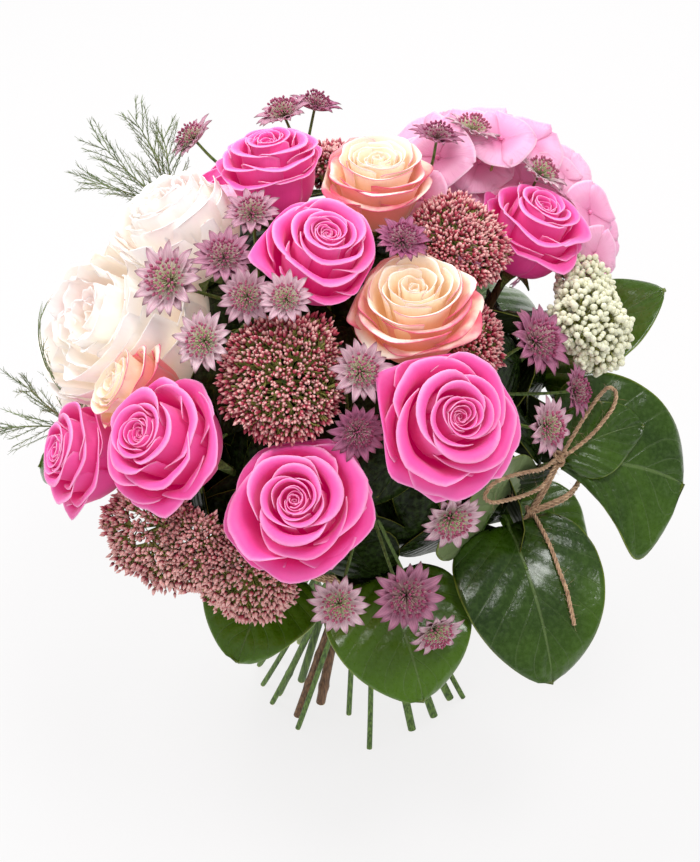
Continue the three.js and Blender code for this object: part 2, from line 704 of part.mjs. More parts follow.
for (const item of [...ROSES, ...PEONIES, ...HYDRANGEAS, RICE_FLOWER]) item.turn = item.seat[0];
for (const item of STONECROPS) item.turn = item.lobes[0].seat[0];
for (const item of MASTERWORTS) item.turn = item.fork[0];
for (const item of LEAVES) Object.assign(item, { ring: "thin", turn: item.from[0] });
for (const item of FERNS) Object.assign(item, { ring: "thin", turn: item.fork[0] });
shareOutSlots([
  ...ROSES, ...PEONIES, ...HYDRANGEAS, RICE_FLOWER, ...STONECROPS, ...MASTERWORTS, ...FERNS, ...LEAVES,
]);

function addStem(node, route, radius, sides, steps) {
  stems.push({ node, route, radius, sides, steps, solid: stemSolid(route, radius, sides, steps) });
}

// A rose or peony: the bloom is one node, and its stem with the calyx another.
function addBloom(flower, shape, material, stemRadius, spin) {
  const head = { node: flower.name + "_bloom", ...layeredBloom(flower, shape, spin) };
  const stalk = flower.name + "_stem";
  materials.set(head.node, material).set(stalk, STALK);
  heads.push(head);
  const end = head.base.clone().addScaledVector(head.axis, -GAP);
  const sunk = end.clone().addScaledVector(head.axis, -3);
  addStem(stalk, stemRoute(flower, sunk, head.axis, 20), stemRadius);
  head.calyx = { node: stalk, solid: calyx(end, head.axis, flower.size * 0.5) };
  others.push(head.calyx);
}
ROSES.forEach((rose, k) => {
  addBloom(rose, roseShape(rose.open), rose.name.includes("pink") ? PINK : CREAM, 2.5, 40 * k);
});
PEONIES.forEach((peony, k) => addBloom(peony, peonyShape(peony.open), BLUSH, 2.8, 55 * k));

for (const hydrangea of HYDRANGEAS) {
  const head = { node: hydrangea.name + "_head", ...hydrangeaHead(hydrangea) };
  const stalk = hydrangea.name + "_stem";
  materials.set(head.node, PALE_PINK).set(stalk, STALK);
  heads.push(head);
  addStem(stalk, stemRoute(hydrangea, head.base, head.axis, 16), 2.9);
}
for (const { name, ring, slot, lobes } of STONECROPS) {
  materials.set(name, DUSKY);
  const clusters = lobes.map((lobe) => ({ node: name, ...stonecropLobe(lobe) }));
  heads.push(...clusters);
  const [first, ...rest] = clusters;
  const sunk = ({ base, axis, radius }) => base.clone().addScaledVector(axis, radius * 0.3);
  addStem(name, stemRoute({ ring, slot }, sunk(first), first.axis, 30), 2.5);
  const fork = first.base.clone().addScaledVector(first.axis, -14);
  for (const cluster of rest) {
    const neck = cluster.base.clone().addScaledVector(cluster.axis, -8);
    addStem(name, [fork, neck, sunk(cluster)], 2, 5, 4);
  }
}
{
  const head = { node: RICE_FLOWER.name, ...riceFlowerHead(RICE_FLOWER) };
  materials.set(head.node, IVORY);
  heads.push(head);
  const sunk = head.base.clone().addScaledVector(head.axis, head.radius * 0.3);
  addStem(head.node, stemRoute(RICE_FLOWER, sunk, head.axis, 24), 2);
}
for (const spray of MASTERWORTS) {
  materials.set(spray.name, MAUVE);
  const fork = seatPoint(spray.fork);
  const upward = direction(spray.fork[0], spray.fork[1]);
  addStem(spray.name, stemRoute(spray, fork.clone().addScaledVector(upward, 1.5), upward, 24), 1.7);
  spray.blooms.forEach((bloom, k) => {
    const head = { node: spray.name, ...masterwortBloom(bloom, k) };
    heads.push(head);
    const neck = head.base.clone().addScaledVector(head.axis, -16);
    addStem(spray.name, [fork, neck, head.base.clone().addScaledVector(head.axis, 1)], 1, 3, 3);
  });
}
for (const leaf of LEAVES) {
  materials.set(leaf.name, LEAF);
  const surface = leafSurface(leaf);
  others.push({ node: leaf.name, solid: solidOf(blade(surface, 1.5, 6, 4)) });
  const end = surface(0, 0.3);
  const start = surface(0, 0.03);
  const back = start.clone().sub(end).setLength(9).add(start);
  const run = straightRun(RINGS.thin, leaf.slot);
  addStem(leaf.name, [run(-BELOW), run(WAIST), run(PETIOLES_MEET), back, start, end], 1.6, 4, 6);
}
for (const fern of FERNS) {
  materials.set(fern.name, FERN);
  const fork = seatPoint(fern.fork);
  const upward = direction(fern.fork[0], fern.fork[1]);
  addStem(fern.name, stemRoute(fern, fork.clone().addScaledVector(upward, 2), upward, 20), 1.2, 4);
  for (const { turn, lean, length } of fern.fronds) {
    others.push({ node: fern.name, solid: frond(fork, direction(turn, lean), length) });
  }
}
materials.set("stem_tie", JUTE).set("cuff_twine", JUTE);
others.push({ node: "stem_tie", solid: waistTie() });
const knot = (at, radius) => new THREE.IcosahedronGeometry(radius, 0).translate(...ringPoint(at));
const cuffStrands = [...CUFF, CUFF[0]].map(ringPoint);
const bowStrands = [CUFF[0], BOW].map(ringPoint);
for (const solid of [
  tube(cuffStrands, TWINE * 0.8, 5, 26),
  tube(bowStrands, TWINE * 0.8, 5, 1),
  solidOf(knot(CUFF[0], 4.2)),
  solidOf(knot(BOW, 5)),
]) {
  others.push({ node: "cuff_twine", solid });
}
for (const [name, route] of Object.entries(FREE_TWINE)) {
  materials.set(name, JUTE);
  const points = route.map((point) => new THREE.Vector3(...point));
  const steps = Math.round(new THREE.CatmullRomCurve3(points).getLength() / (3 * TWINE));
  others.push({ node: name, solid: tube(points, TWINE / 2, 8, steps) });
}

// ---------------------------------------------------------------- making room
const meet = (a, b) => a.node !== b.node && a.solid.intersect(b.solid).volume() > 0.001;

// The florets of a hydrangea give way round a whole rose, with its calyx.
function pocket({ base, axis, radius }) {
  const depth = BLOOM_HEIGHT * (radius / UNIT) * 1.1;
  const wall = [[0, -14], [0.5, -10], [0.75, 0], [1.12, 0.3 * depth], [1.24, 3 * depth], [0, 3 * depth]];
  const profile = wall.map(([x, y]) => new THREE.Vector2(x * radius, y));
  const room = new THREE.LatheGeometry(profile, 8).rotateX(Math.PI / 2);
  return solidOf(room.applyMatrix4(placement(base, axis)));
}

// Other heads that press together each give way up to a flat face between them, with their calyces.
function keepSide(head, normal, offset) {
  for (const piece of [head, head.calyx ?? []].flat()) piece.solid = piece.solid.trimByPlane(normal, offset);
}
function partHeads(a, b) {
  if (!meet(a, b)) return;
  if (a.node.startsWith("rose") && b.node.startsWith("hydrangea")) {
    b.solid = b.solid.subtract(pocket(a));
    return;
  }
  const way = b.centre.clone().sub(a.centre);
  const apart = way.length();
  way.normalize();
  const split = a.centre.dot(way) + apart / 2 + (a.radius ** 2 - b.radius ** 2) / (2 * apart);
  const normal = way.toArray();
  keepSide(a, normal.map((x) => -x), GAP / 2 - split);
  keepSide(b, normal, split + GAP / 2);
}
heads.forEach((a, i) => heads.slice(i + 1).forEach((b) => partHeads(a, b)));

// A head leaves a channel for each stem of another flower that runs through it.
for (const head of heads) {
  for (const stem of stems.filter((other) => meet(head, other))) {
    head.solid = head.solid.subtract(tube(stem.route, stem.radius + GAP, stem.sides, stem.steps));
  }
}

const bouquet = new THREE.Group();
for (const [name, material] of materials) {
  const own = [...heads, ...stems, ...others].filter(({ node }) => node === name);
  const mesh = new THREE.Mesh(geometryOf(fuse(own.map(({ solid }) => solid))), material);
  mesh.name = name;
  bouquet.add(mesh);
}
export default bouquet;
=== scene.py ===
# %% [markdown]
# A hand-tied bunch of roses. It stands on its own splayed stems, and every flower grows from its own stem.
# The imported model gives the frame: each piece here takes the place of a plain solid and keeps its form.
# The layout is in millimetres, as it was drawn, and becomes metres when a piece is made.

# %% Load the frame
import math
import bpy
import numpy as np
from mathutils import Matrix, Vector


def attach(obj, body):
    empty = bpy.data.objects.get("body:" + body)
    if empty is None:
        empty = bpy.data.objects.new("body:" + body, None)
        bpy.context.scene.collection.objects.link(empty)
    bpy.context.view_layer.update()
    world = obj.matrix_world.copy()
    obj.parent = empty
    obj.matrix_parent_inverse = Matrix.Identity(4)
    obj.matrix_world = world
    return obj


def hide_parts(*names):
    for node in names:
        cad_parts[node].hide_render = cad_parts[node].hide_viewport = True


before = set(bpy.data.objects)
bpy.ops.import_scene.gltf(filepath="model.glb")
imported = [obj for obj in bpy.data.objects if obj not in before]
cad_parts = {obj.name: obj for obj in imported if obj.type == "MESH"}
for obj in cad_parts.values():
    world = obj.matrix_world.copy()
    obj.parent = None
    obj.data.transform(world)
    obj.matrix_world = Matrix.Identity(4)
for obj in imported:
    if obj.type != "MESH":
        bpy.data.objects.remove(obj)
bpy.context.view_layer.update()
MM = 0.001
print("nodes in the frame:", len(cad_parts))

# %% [markdown]
# The camera comes first. The bunch was photographed from the front, looking down at it by about 46
# degrees, from nearly a metre away. A soft light stands at the upper left, two smaller ones behind and above
# make the leaves shine, and a bright sky fills in, so that shadows stay faint. Mirror-like reflections see
# a dimmer sky, as they would in a room.

# %% Camera and light
TARGET = Vector((-10, -18, 228)) * MM
CAMERA_DISTANCE = 950 * MM
CAMERA_ELEVATION = math.radians(46)
FOCAL_PIXELS = 1763
LONG_SIDE_PIXELS = 862
SENSOR = 36
LIGHTS_AIM = (0, 0, 0.2)
SKY_STRENGTH = 0.86
SKY_IN_REFLECTIONS = 0.25

camera = bpy.data.objects.new("camera", bpy.data.cameras.new("camera"))
bpy.context.scene.collection.objects.link(camera)
bpy.context.scene.camera = camera
away = Vector((0, -math.cos(CAMERA_ELEVATION), math.sin(CAMERA_ELEVATION)))
camera.location = TARGET + away * CAMERA_DISTANCE
camera.rotation_mode = "QUATERNION"
camera.rotation_quaternion = (-away).to_track_quat("-Z", "Y")
camera.data.sensor_width = SENSOR
camera.data.lens = FOCAL_PIXELS * SENSOR / LONG_SIDE_PIXELS
camera.data.clip_start = 0.01
camera.data.clip_end = 50


def area_light(name, place, size, power):
    lamp = bpy.data.objects.new(name, bpy.data.lights.new(name, "AREA"))
    lamp.data.shape = "DISK"
    lamp.data.size = size
    lamp.data.energy = power
    lamp.location = place
    lamp.rotation_mode = "QUATERNION"
    lamp.rotation_quaternion = (Vector(LIGHTS_AIM) - Vector(place)).to_track_quat("-Z", "Y")
    bpy.context.scene.collection.objects.link(lamp)


area_light("key", (-0.7, 0.3, 1.3), 0.5, 8)
area_light("gloss", (0.35, 0.95, 1.1), 0.4, 5)
area_light("top", (0.25, -0.25, 1.5), 0.4, 6)
bpy.context.scene.view_settings.view_transform = "Standard"
world = bpy.data.worlds.new("sky")
bpy.context.scene.world = world
world.use_nodes = True
sky = world.node_tree.nodes["Background"]
sky.inputs["Color"].default_value = (1, 1, 1, 1)
light_path = world.node_tree.nodes.new("ShaderNodeLightPath")
dim = world.node_tree.nodes.new("ShaderNodeMapRange")
dim.inputs["To Min"].default_value = SKY_STRENGTH
dim.inputs["To Max"].default_value = SKY_IN_REFLECTIONS
world.node_tree.links.new(light_path.outputs["Is Glossy Ray"], dim.inputs["Value"])
world.node_tree.links.new(dim.outputs["Result"], sky.inputs["Strength"])
print("camera at", [round(x, 3) for x in camera.location])

# %% [markdown]
# Materials and Geometry Nodes trees are both graphs of nodes, so one small class writes both. A Term is a
# socket, and arithmetic on terms adds Math nodes. Everything else comes from one method, node, which takes
# the node's type, its settings, and the values or links of its sockets.

# %% Nodes written as expressions
class Term:
    """A socket of a graph. Arithmetic with it adds Math nodes."""

    def __init__(self, graph, socket):
        self.graph = graph
        self.socket = socket

    def math(self, operation, *values):
        return self.graph.node("ShaderNodeMath", {"operation": operation}, dict(enumerate(values)))

    def __add__(self, other):
        return self.math("ADD", self, other)

    def __sub__(self, other):
        return self.math("SUBTRACT", self, other)

    def __rsub__(self, other):
        return self.math("SUBTRACT", other, self)

    def __mul__(self, other):
        return self.math("MULTIPLY", self, other)

    def __truediv__(self, other):
        return self.math("DIVIDE", self, other)

    def __pow__(self, other):
        return self.math("POWER", self, other)

    __radd__ = __add__
    __rmul__ = __mul__

    def output(self, name):
        return Term(self.graph, self.socket.node.outputs[name])


class Graph:
    """A node tree that is written one node at a time."""

    def __init__(self, tree):
        self.tree = tree
        tree.nodes.clear()

    def feed(self, socket, value):
        if isinstance(value, Term):
            self.tree.links.new(value.socket, socket)
        else:
            socket.default_value = value

    def node(self, kind, settings=None, inputs=None, output=0):
        made = self.tree.nodes.new(kind)
        for name, value in (settings or {}).items():
            setattr(made, name, value)
        for key, value in (inputs or {}).items():
            self.feed(made.inputs[key], value)
        return Term(self, made.outputs[output]) if made.outputs else made


print("graph helpers ready: Term and Graph")

# %% [markdown]
# A Finish is a material. Colours are given as the 0 to 255 numbers that a colour picker shows and are
# turned to light here. Petals read their own UV map, which runs across and along the petal, so that veins
# and edges follow the petal wherever it is curled.

# %% Materials as finishes
def shade(red, green, blue):
    def to_light(x):
        x = x / 255
        return x / 12.92 if x <= 0.04045 else ((x + 0.055) / 1.055) ** 2.4

    return (to_light(red), to_light(green), to_light(blue), 1.0)


class Finish(Graph):
    """A material with one Principled shader. Fixed values are set on its own sockets."""

    def __init__(self, name, **fixed):
        self.material = bpy.data.materials.new(name)
        self.material.use_nodes = True
        super().__init__(self.material.node_tree)
        self.shader = self.node("ShaderNodeBsdfPrincipled").socket.node
        self.node("ShaderNodeOutputMaterial", {}, {"Surface": Term(self, self.shader.outputs[0])})
        for key, value in fixed.items():
            self.shader.inputs[key.replace("_", " ")].default_value = value

    def set(self, **terms):
        for key, value in terms.items():
            self.feed(self.shader.inputs[key.replace("_", " ")], value)
        return self.material

    def mix(self, factor, first, second):
        return self.node("ShaderNodeMix", {"data_type": "RGBA"}, {0: factor, 6: first, 7: second}, output=2)

    def mark(self, name):
        """A number that the mesh carries on its points."""
        return self.node("ShaderNodeAttribute", {"attribute_name": name}, output=2)

    def surface(self):
        """The UV map as one vector, then its way across and its way along."""
        both = self.node("ShaderNodeUVMap", {"uv_map": "UVMap"})
        split = self.node("ShaderNodeSeparateXYZ", {}, {0: both})
        return both, split, split.output("Y")

    def place(self, scale):
        """A spot on the piece, in metres times the scale: what a noise is laid on."""
        at = self.node("ShaderNodeTexCoord", {}, {}, output=3)
        return self.node("ShaderNodeVectorMath", {"operation": "SCALE"}, {0: at, "Scale": scale})

    def noise(self, vector, detail):
        return self.node("ShaderNodeTexNoise", {}, {"Vector": vector, "Scale": 1.0, "Detail": detail})

    def rise(self, value, low, high):
        """0 below low, 1 above high, and a smooth step between."""
        settings = {"interpolation_type": "SMOOTHSTEP"}
        return self.node("ShaderNodeMapRange", settings, {0: value, 1: low, 2: high})

    def bump(self, height, distance, strength):
        return self.node("ShaderNodeBump", {}, {"Height": height, "Distance": distance, "Strength": strength})


print("a colour picker's (128, 128, 128) is this much light:", round(shade(128, 128, 128)[0], 3))

# %% [markdown]
# Leaves and petals are thin sheets. A sheet here starts as a grid of points for its middle surface, and
# gets two faces and a rim, so that it is a closed body. A Heap gathers many such sheets, with their UV map
# and marks for the material, into one mesh.

# %% Sheets and heaps
def closed_sheet(middle, thickness):
    """Points and faces of a closed sheet on a grid of points. The first half of the points is the side
    that the grid's own normal looks to."""
    rows, columns = middle.shape[:2]
    normal = np.cross(np.gradient(middle, axis=1), np.gradient(middle, axis=0))
    normal /= np.maximum(np.linalg.norm(normal, axis=2, keepdims=True), 1e-9)
    half = normal * (thickness / 2)
    points = np.concatenate([(middle + half).reshape(-1, 3), (middle - half).reshape(-1, 3)])
    index = np.arange(rows * columns).reshape(rows, columns)
    upper = np.stack([index[:-1, :-1], index[:-1, 1:], index[1:, 1:], index[1:, :-1]], -1).reshape(-1, 4)
    edge = np.concatenate([index[0, :-1], index[:-1, -1], index[-1, :0:-1], index[:0:-1, 0]])
    after = np.roll(edge, -1)
    rim = np.stack([edge, edge + rows * columns, after + rows * columns, after], -1)
    return points, np.concatenate([upper, upper[:, ::-1] + rows * columns, rim])


class Heap:
    """Sheets and bodies that become one mesh."""

    def __init__(self, *marks):
        self.points, self.faces, self.uv = [], [], []
        self.marks = {name: [] for name in marks}
        self.count = 0

    def add(self, points, faces, uv=None, **marks):
        size = len(points)
        self.points.append(points)
        self.faces.append(np.where(faces >= 0, faces + self.count, -1))
        self.uv.append(np.zeros((size, 2)) if uv is None else uv)
        for name, values in self.marks.items():
            values.append(np.broadcast_to(np.asarray(marks.get(name, 0.0), float), (size,)))
        self.count += size

    def add_sheet(self, middle, thickness, **marks):
        rows, columns = middle.shape[:2]
        points, faces = closed_sheet(middle, thickness)
        across, along = np.meshgrid(np.linspace(0, 1, columns), np.linspace(0, 1, rows))
        uv = np.stack([across, along], -1).reshape(-1, 2)
        half = rows * columns
        back = np.concatenate([np.ones(half), np.zeros(half)])
        self.add(points, faces, np.concatenate([uv, uv]), back=back, **marks)

    def mesh(self, name):
        points = np.concatenate(self.points) * MM
        mesh = bpy.data.meshes.new(name)
        faces = [face[face >= 0].tolist() for block in self.faces for face in block]
        mesh.from_pydata(points.tolist(), [], faces)
        uv = np.concatenate(self.uv)
        corner = np.empty(len(mesh.loops), dtype=np.int32)
        mesh.loops.foreach_get("vertex_index", corner)
        mesh.uv_layers.new(name="UVMap").data.foreach_set("uv", uv[corner].ravel())
        for label, values in self.marks.items():
            mesh.attributes.new(label, "FLOAT", "POINT").data.foreach_set("value", np.concatenate(values))
        mesh.polygons.foreach_set("use_smooth", np.ones(len(mesh.polygons), dtype=bool))
        mesh.update()
        return mesh


def lathe_body(profile, sides):
    """A closed round body from [radius, height] pairs, from its foot to its top. The first and last
    pairs are single points on the axis."""
    rings = profile[1:-1]
    turn = 2 * math.pi * np.arange(sides) / sides
    points = [(0, 0, profile[0][1])]
    for r, z in rings:
        points.extend((r * math.cos(a), r * math.sin(a), z) for a in turn)
    points.append((0, 0, profile[-1][1]))
    faces = []
    for k in range(sides):
        after = (k + 1) % sides
        faces.append((0, 1 + after, 1 + k, -1))
        for ring in range(len(rings) - 1):
            low = 1 + ring * sides
            faces.append((low + k, low + after, low + sides + after, low + sides + k))
        top = 1 + (len(rings) - 1) * sides
        faces.append((top + k, top + after, len(points) - 1, -1))
    heights = np.array([p[2] for p in points])
    along = (heights - heights.min()) / (heights.max() - heights.min())
    return np.array(points, float), np.array(faces), np.stack([np.zeros(len(points)), along], -1)


def joined(*meshes):
    """Joins meshes into the first, and keeps their marks and materials."""
    holders = [bpy.data.objects.new("part", mesh) for mesh in meshes]
    for holder in holders:
        bpy.context.scene.collection.objects.link(holder)
    with bpy.context.temp_override(active_object=holders[0], selected_editable_objects=holders):
        bpy.ops.object.join()
    mesh = holders[0].data
    bpy.data.objects.remove(holders[0])
    return mesh


def piece(name, mesh, slot, *nodes, material=None):
    """Makes a mesh a piece of the bunch, which stands for the nodes named."""
    made = bpy.data.objects.new(name, mesh)
    bpy.context.scene.collection.objects.link(made)
    if material is not None:
        mesh.materials.clear()
        mesh.materials.append(material)
    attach(made, "root")
    if nodes:
        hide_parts(*nodes)
    return made


print("helpers ready: closed_sheet, Heap, lathe_body, joined and piece")

# %% [markdown]
# A flower's seat is a direction from the middle of the dome and a distance out to the bloom. Its face is
# the direction that the bloom looks in. The same numbers placed the solids, so pieces lie where they do.

# %% Directions and routes
DOME_CENTRE = 245
SIDEWAYS = -18
WAIST = 115
GAP = 0.3
LIFT = 30
SPIRAL = 74
GOLDEN_TURN = 137.5  # degrees; turned by this each time, no two neighbours line up
UP = np.array([0.0, 0.0, 1.0])
# Each ring of stems: radius at the waist, radius at the feet, room in degrees between two stems.
RINGS = {
    "middle": (2.9, 0, 0),
    "inner": (8.3, 25, 70),
    "second": (14.6, 44, 26),
    "outer": (20.5, 61, 17),
    "thin": (25, 68, 13),
}


def flat(turn):
    return np.array([math.cos(math.radians(turn)), math.sin(math.radians(turn)), 0.0])


def direction(turn, lean):
    """A unit direction: a turn in degrees round +Z, and a lean away from it."""
    return flat(turn) * math.sin(math.radians(lean)) + UP * math.cos(math.radians(lean))


def middle_at(height):
    """The middle of the bunch, which leans sideways up to the waist."""
    return np.array([SIDEWAYS * min(1, height / WAIST), 0, height])


def seat_point(seat):
    return direction(seat[0], seat[1]) * seat[2] + middle_at(DOME_CENTRE)


def ring_point(turn, radius, height):
    """A point at a turn and radius from the middle of the bunch, at a height."""
    return flat(turn) * radius + middle_at(height)


def basis(axis, spin=0.0):
    """A matrix that turns a shape's own +Z to the axis, after a spin about it."""
    turned = Vector(UP).rotation_difference(Vector(axis)).to_matrix()
    return np.array(turned @ Matrix.Rotation(math.radians(spin), 3, "Z"))


def smooth_line(corners, step=2.0):
    """Points on a centripetal Catmull-Rom curve through the corners, about a step apart."""
    corners = [np.asarray(p, float) for p in corners]
    corners = [2 * corners[0] - corners[1], *corners, 2 * corners[-1] - corners[-2]]
    line = []
    for p0, p1, p2, p3 in zip(corners, corners[1:], corners[2:], corners[3:]):
        gaps = [max(np.linalg.norm(b - a), 1e-6) ** 0.5 for a, b in ((p0, p1), (p1, p2), (p2, p3))]
        slope1 = ((p1 - p0) / gaps[0] - (p2 - p0) / (gaps[0] + gaps[1]) + (p2 - p1) / gaps[1]) * gaps[1]
        slope2 = ((p2 - p1) / gaps[1] - (p3 - p1) / (gaps[1] + gaps[2]) + (p3 - p2) / gaps[2]) * gaps[1]
        count = max(1, round(np.linalg.norm(p2 - p1) / step))
        for t in np.arange(count) / count:
            line.append(
                p1
                + slope1 * t
                + (3 * (p2 - p1) - 2 * slope1 - slope2) * t**2
                + (slope1 + slope2 - 2 * (p2 - p1)) * t**3
            )
    line.append(corners[-2])
    return np.array(line)


print("middle of the dome of flowers:", middle_at(DOME_CENTRE), "mm")

# %% [markdown]
# The layout of the bunch. Every row is one grown piece: its name, the ring its stem stands on, a nudge of
# its slot in degrees, its seat and face, its radius, and how far it has opened. A stonecrop has a list of
# lobes instead, each with its own seat, face and radius.

# %% Layout
ROSES = [
    ("rose_pink_1", "outer", 0, (-97, 71, 134), (-100, 34), 34, 1),
    ("rose_pink_2", "outer", 0, (-63, 56, 139), (-62, 42), 34.5, 1),
    ("rose_pink_3", "outer", 0, (-128, 65, 141), (-150, 42), 33, 0.8),
    ("rose_pink_4", "outer", 0, (-147, 79, 147), (-165, 62), 29, 0.6),
    ("rose_pink_5", "inner", 0, (-99, 18, 131), (-40, 18), 30, 0.7),
    ("rose_pink_6", "inner", 0, (150, 15, 134), (120, 14), 28, 0.4),
    ("rose_pink_7", "outer", 0, (10, 48, 136), (10, 22), 29.5, 0.6),
    ("rose_pink_8", "outer", 0, (114, 78, 134), (114, 74), 31, 0.8),
    ("rose_cream_1", "second", 0, (-55, 33, 122), (-110, 4), 33, 1),
    ("rose_cream_2", "middle", 126, (24, 10, 130), (70, 7), 29, 0.6),
    ("rose_cream_3", "second", 0, (-145, 62, 132), (-170, 55), 27, 0.5),
    ("rose_cream_4", "outer", 10, (72, 80, 134), (72, 76), 30, 0.8),
]
PEONIES = [
    ("peony_1", "outer", 0, (-168, 60, 120), (-160, 50), 50, 1),
    ("peony_2", "second", 0, (180, 36, 130), (160, 30), 36, 0.4),
]
HYDRANGEAS = [
    ("hydrangea_1", "second", 0, (23, 49, 110), (26, 44), 54),
    ("hydrangea_2", "second", 0, (140, 72, 100), (140, 64), 46),
]
STONECROPS = [
    ("stonecrop_1", "second", 0, [((-105, 45, 126), (-105, 38), 32)]),
    ("stonecrop_2", "outer", 0, [
        ((-130, 88, 140), (-132, 70), 31),
        ((-108, 91, 137), (-105, 75), 28),
        ((-119, 88, 138), (-118, 72), 23),
    ]),
    ("stonecrop_3", "second", 0, [((-13, 29, 128), (-20, 24), 27), ((-38, 46, 116), (-40, 38), 20)]),
    ("stonecrop_4", "outer", 6, [((92, 52, 118), (92, 46), 28)]),
]
RICE_FLOWER = ("rice_flower", "outer", 0, (-9, 64, 144), (-10, 52), 25)
# Masterwort: name, ring, nudge, fork, and the seat, face and radius of each bloom, with its depth of
# purple: 0 is pale, 1 is purple all over.
MASTERWORTS = [
    ("masterwort_1", "second", 0, (-138, 30, 90), [
        ((-148, 38, 148), (-130, 42), 16, 0.25),
        ((-127, 43, 146), (-120, 46), 13, 0.1),
        ((-138, 28, 146), (-80, 20), 13, 0.75),
        ((-122, 32, 142), (-100, 50), 12, 0.4),
        ((-152, 18, 142), (-100, 12), 12, 0.6),
    ]),
    ("masterwort_2", "second", 0, (122, 24, 92), [
        ((114, 25, 150), (150, 20), 13, 0.6),
        ((98, 28, 150), (60, 24), 12, 0.9),
        ((146, 34, 154), (170, 40), 12, 0.5),
    ]),
    ("masterwort_3", "second", 0, (32, 24, 92), [
        ((34, 24, 152), (60, 20), 12, 0.9),
        ((38, 35, 156), (50, 30), 13, 0.2),
        ((22, 46, 158), (20, 34), 13, 0.15),
        ((-46, 20, 138), (-40, 16), 12, 1.0),
    ]),
    ("masterwort_4", "second", 0, (-85, 38, 90), [
        ((-82, 43, 136), (-60, 42), 13, 0.3),
        ((-84, 55, 134), (-75, 60), 12, 0.95),
        ((-106, 31, 150), (-90, 30), 11, 0.3),
    ]),
    ("masterwort_5", "outer", 0, (-38, 62, 88), [
        ((-30, 53, 142), (-30, 44), 16, 0.9),
        ((-39, 68, 144), (-40, 60), 13, 0.35),
        ((-25, 69, 142), (-20, 66), 12, 0.85),
        ((-66, 76, 142), (-70, 82), 14, 0.15),
    ]),
    ("masterwort_6", "outer", -3, (-80, 82, 88), [
        ((-76, 91, 147), (-72, 62), 16, 0.8),
        ((-89, 92, 146), (-95, 62), 13, 0.1),
        ((-69, 107, 149), (-66, 92), 13, 0.2),
    ]),
]
# Collar leaves: name, nudge, start of the blade, way, pitch from and to, length, width, roll.
LEAVES = [
    ("leaf_1", 0, (-36, 113, 206), -72, (0, -66), 90, 80, 0),
    ("leaf_2", 0, (-17, 126, 222), 4, (6, -40), 74, 98, 38),
    ("leaf_3", 0, (14, 118, 225), 13, (50, 24), 84, 66, 0),
    ("leaf_4", 9, (-76, 98, 197), -68, (0, -58), 70, 78, 0),
    ("leaf_5", 3, (-109, 96, 194), -112, (2, -34), 52, 62, 0),
    ("leaf_6", 0, (-42, 104, 206), -42, (72, 98), 54, 78, 0),
    ("leaf_7", 0, (-12, 98, 176), -20, (-4, -36), 52, 50, 0),
    ("leaf_8", 0, (54, 104, 204), 54, (16, -44), 84, 84, 0),
    ("leaf_9", 0, (116, 104, 202), 116, (14, -46), 84, 82, 0),
    ("leaf_10", 3, (178, 104, 198), 178, (4, -46), 72, 74, 0),
]
# Ferns: name, nudge, fork, and the turn, lean and length of each frond.
FERNS = [
    ("fern_1", 0, (158, 44, 132), [(100, 12, 46), (135, 28, 56), (162, 44, 56), (182, 62, 48)]),
    ("fern_2", -3, (-163, 86, 142), [(-150, 26, 56), (-164, 78, 56), (60, 20, 62)]),
]
print("roses:", len(ROSES), "leaves:", len(LEAVES))

# %% [markdown]
# Where the stems cross the waist. They are laid in a spiral, as a florist lays them, so that each one
# leans on the next. Stems of one ring take their slots in the order of their flowers, and push each other
# apart until each has its room.

# %% Slots of the stems
def share_out_slots(items):
    """items: (name, ring, nudge, turn). Gives each name its slot in degrees."""
    slots = {}
    for ring, (_, _, room) in RINGS.items():
        sharing = sorted((item for item in items if item[1] == ring), key=lambda item: item[3])
        places = [item[3] - SPIRAL for item in sharing]
        for _ in range(200):
            for k in range(len(places)):
                after = (k + 1) % len(places)
                push = max(0, room - (places[after] - places[k]) % 360) / 2
                places[k] -= push
                places[after] += push
        for item, place in zip(sharing, places):
            slots[item[0]] = (ring, place + item[2])
    return slots


SLOTS = share_out_slots(
    [(row[0], row[1], row[2], row[3][0]) for row in [*ROSES, *PEONIES, *HYDRANGEAS, RICE_FLOWER]]
    + [(name, ring, nudge, lobes[0][0][0]) for name, ring, nudge, lobes in STONECROPS]
    + [(name, ring, nudge, fork[0]) for name, ring, nudge, fork, _ in MASTERWORTS]
    + [(name, "thin", nudge, fork[0]) for name, nudge, fork, _ in FERNS]
    + [(row[0], "thin", row[1], row[2][0]) for row in LEAVES]
)


def straight_run(name, height):
    """Where a stem's straight line from its foot through its slot is at a height."""
    ring, slot = SLOTS[name]
    radius, foot, _ = RINGS[ring]
    start = min(radius, foot)
    reach = math.sqrt(foot**2 - start**2)
    return (
        flat(slot) * (start + (radius - start) * height / WAIST)
        + flat(slot + 90) * (reach * (height - WAIST) / WAIST)
        + middle_at(height)
    )


def stem_route(name, end, axis, neck):
    """From the floor through the stem's slot at the waist, then up the last stretch along the axis."""
    low = [straight_run(name, height) for height in (0, WAIST / 2, WAIST, WAIST + LIFT)]
    return smooth_line([*low, end - axis * neck, end], step=3)


print("stems laid:", len(SLOTS))

# %% [markdown]
# Geometry Nodes make what repeats. A Recipe is a tree with named inputs. It runs on a source object whose
# points carry attributes such as where each bud looks, and its result is kept as a plain mesh.

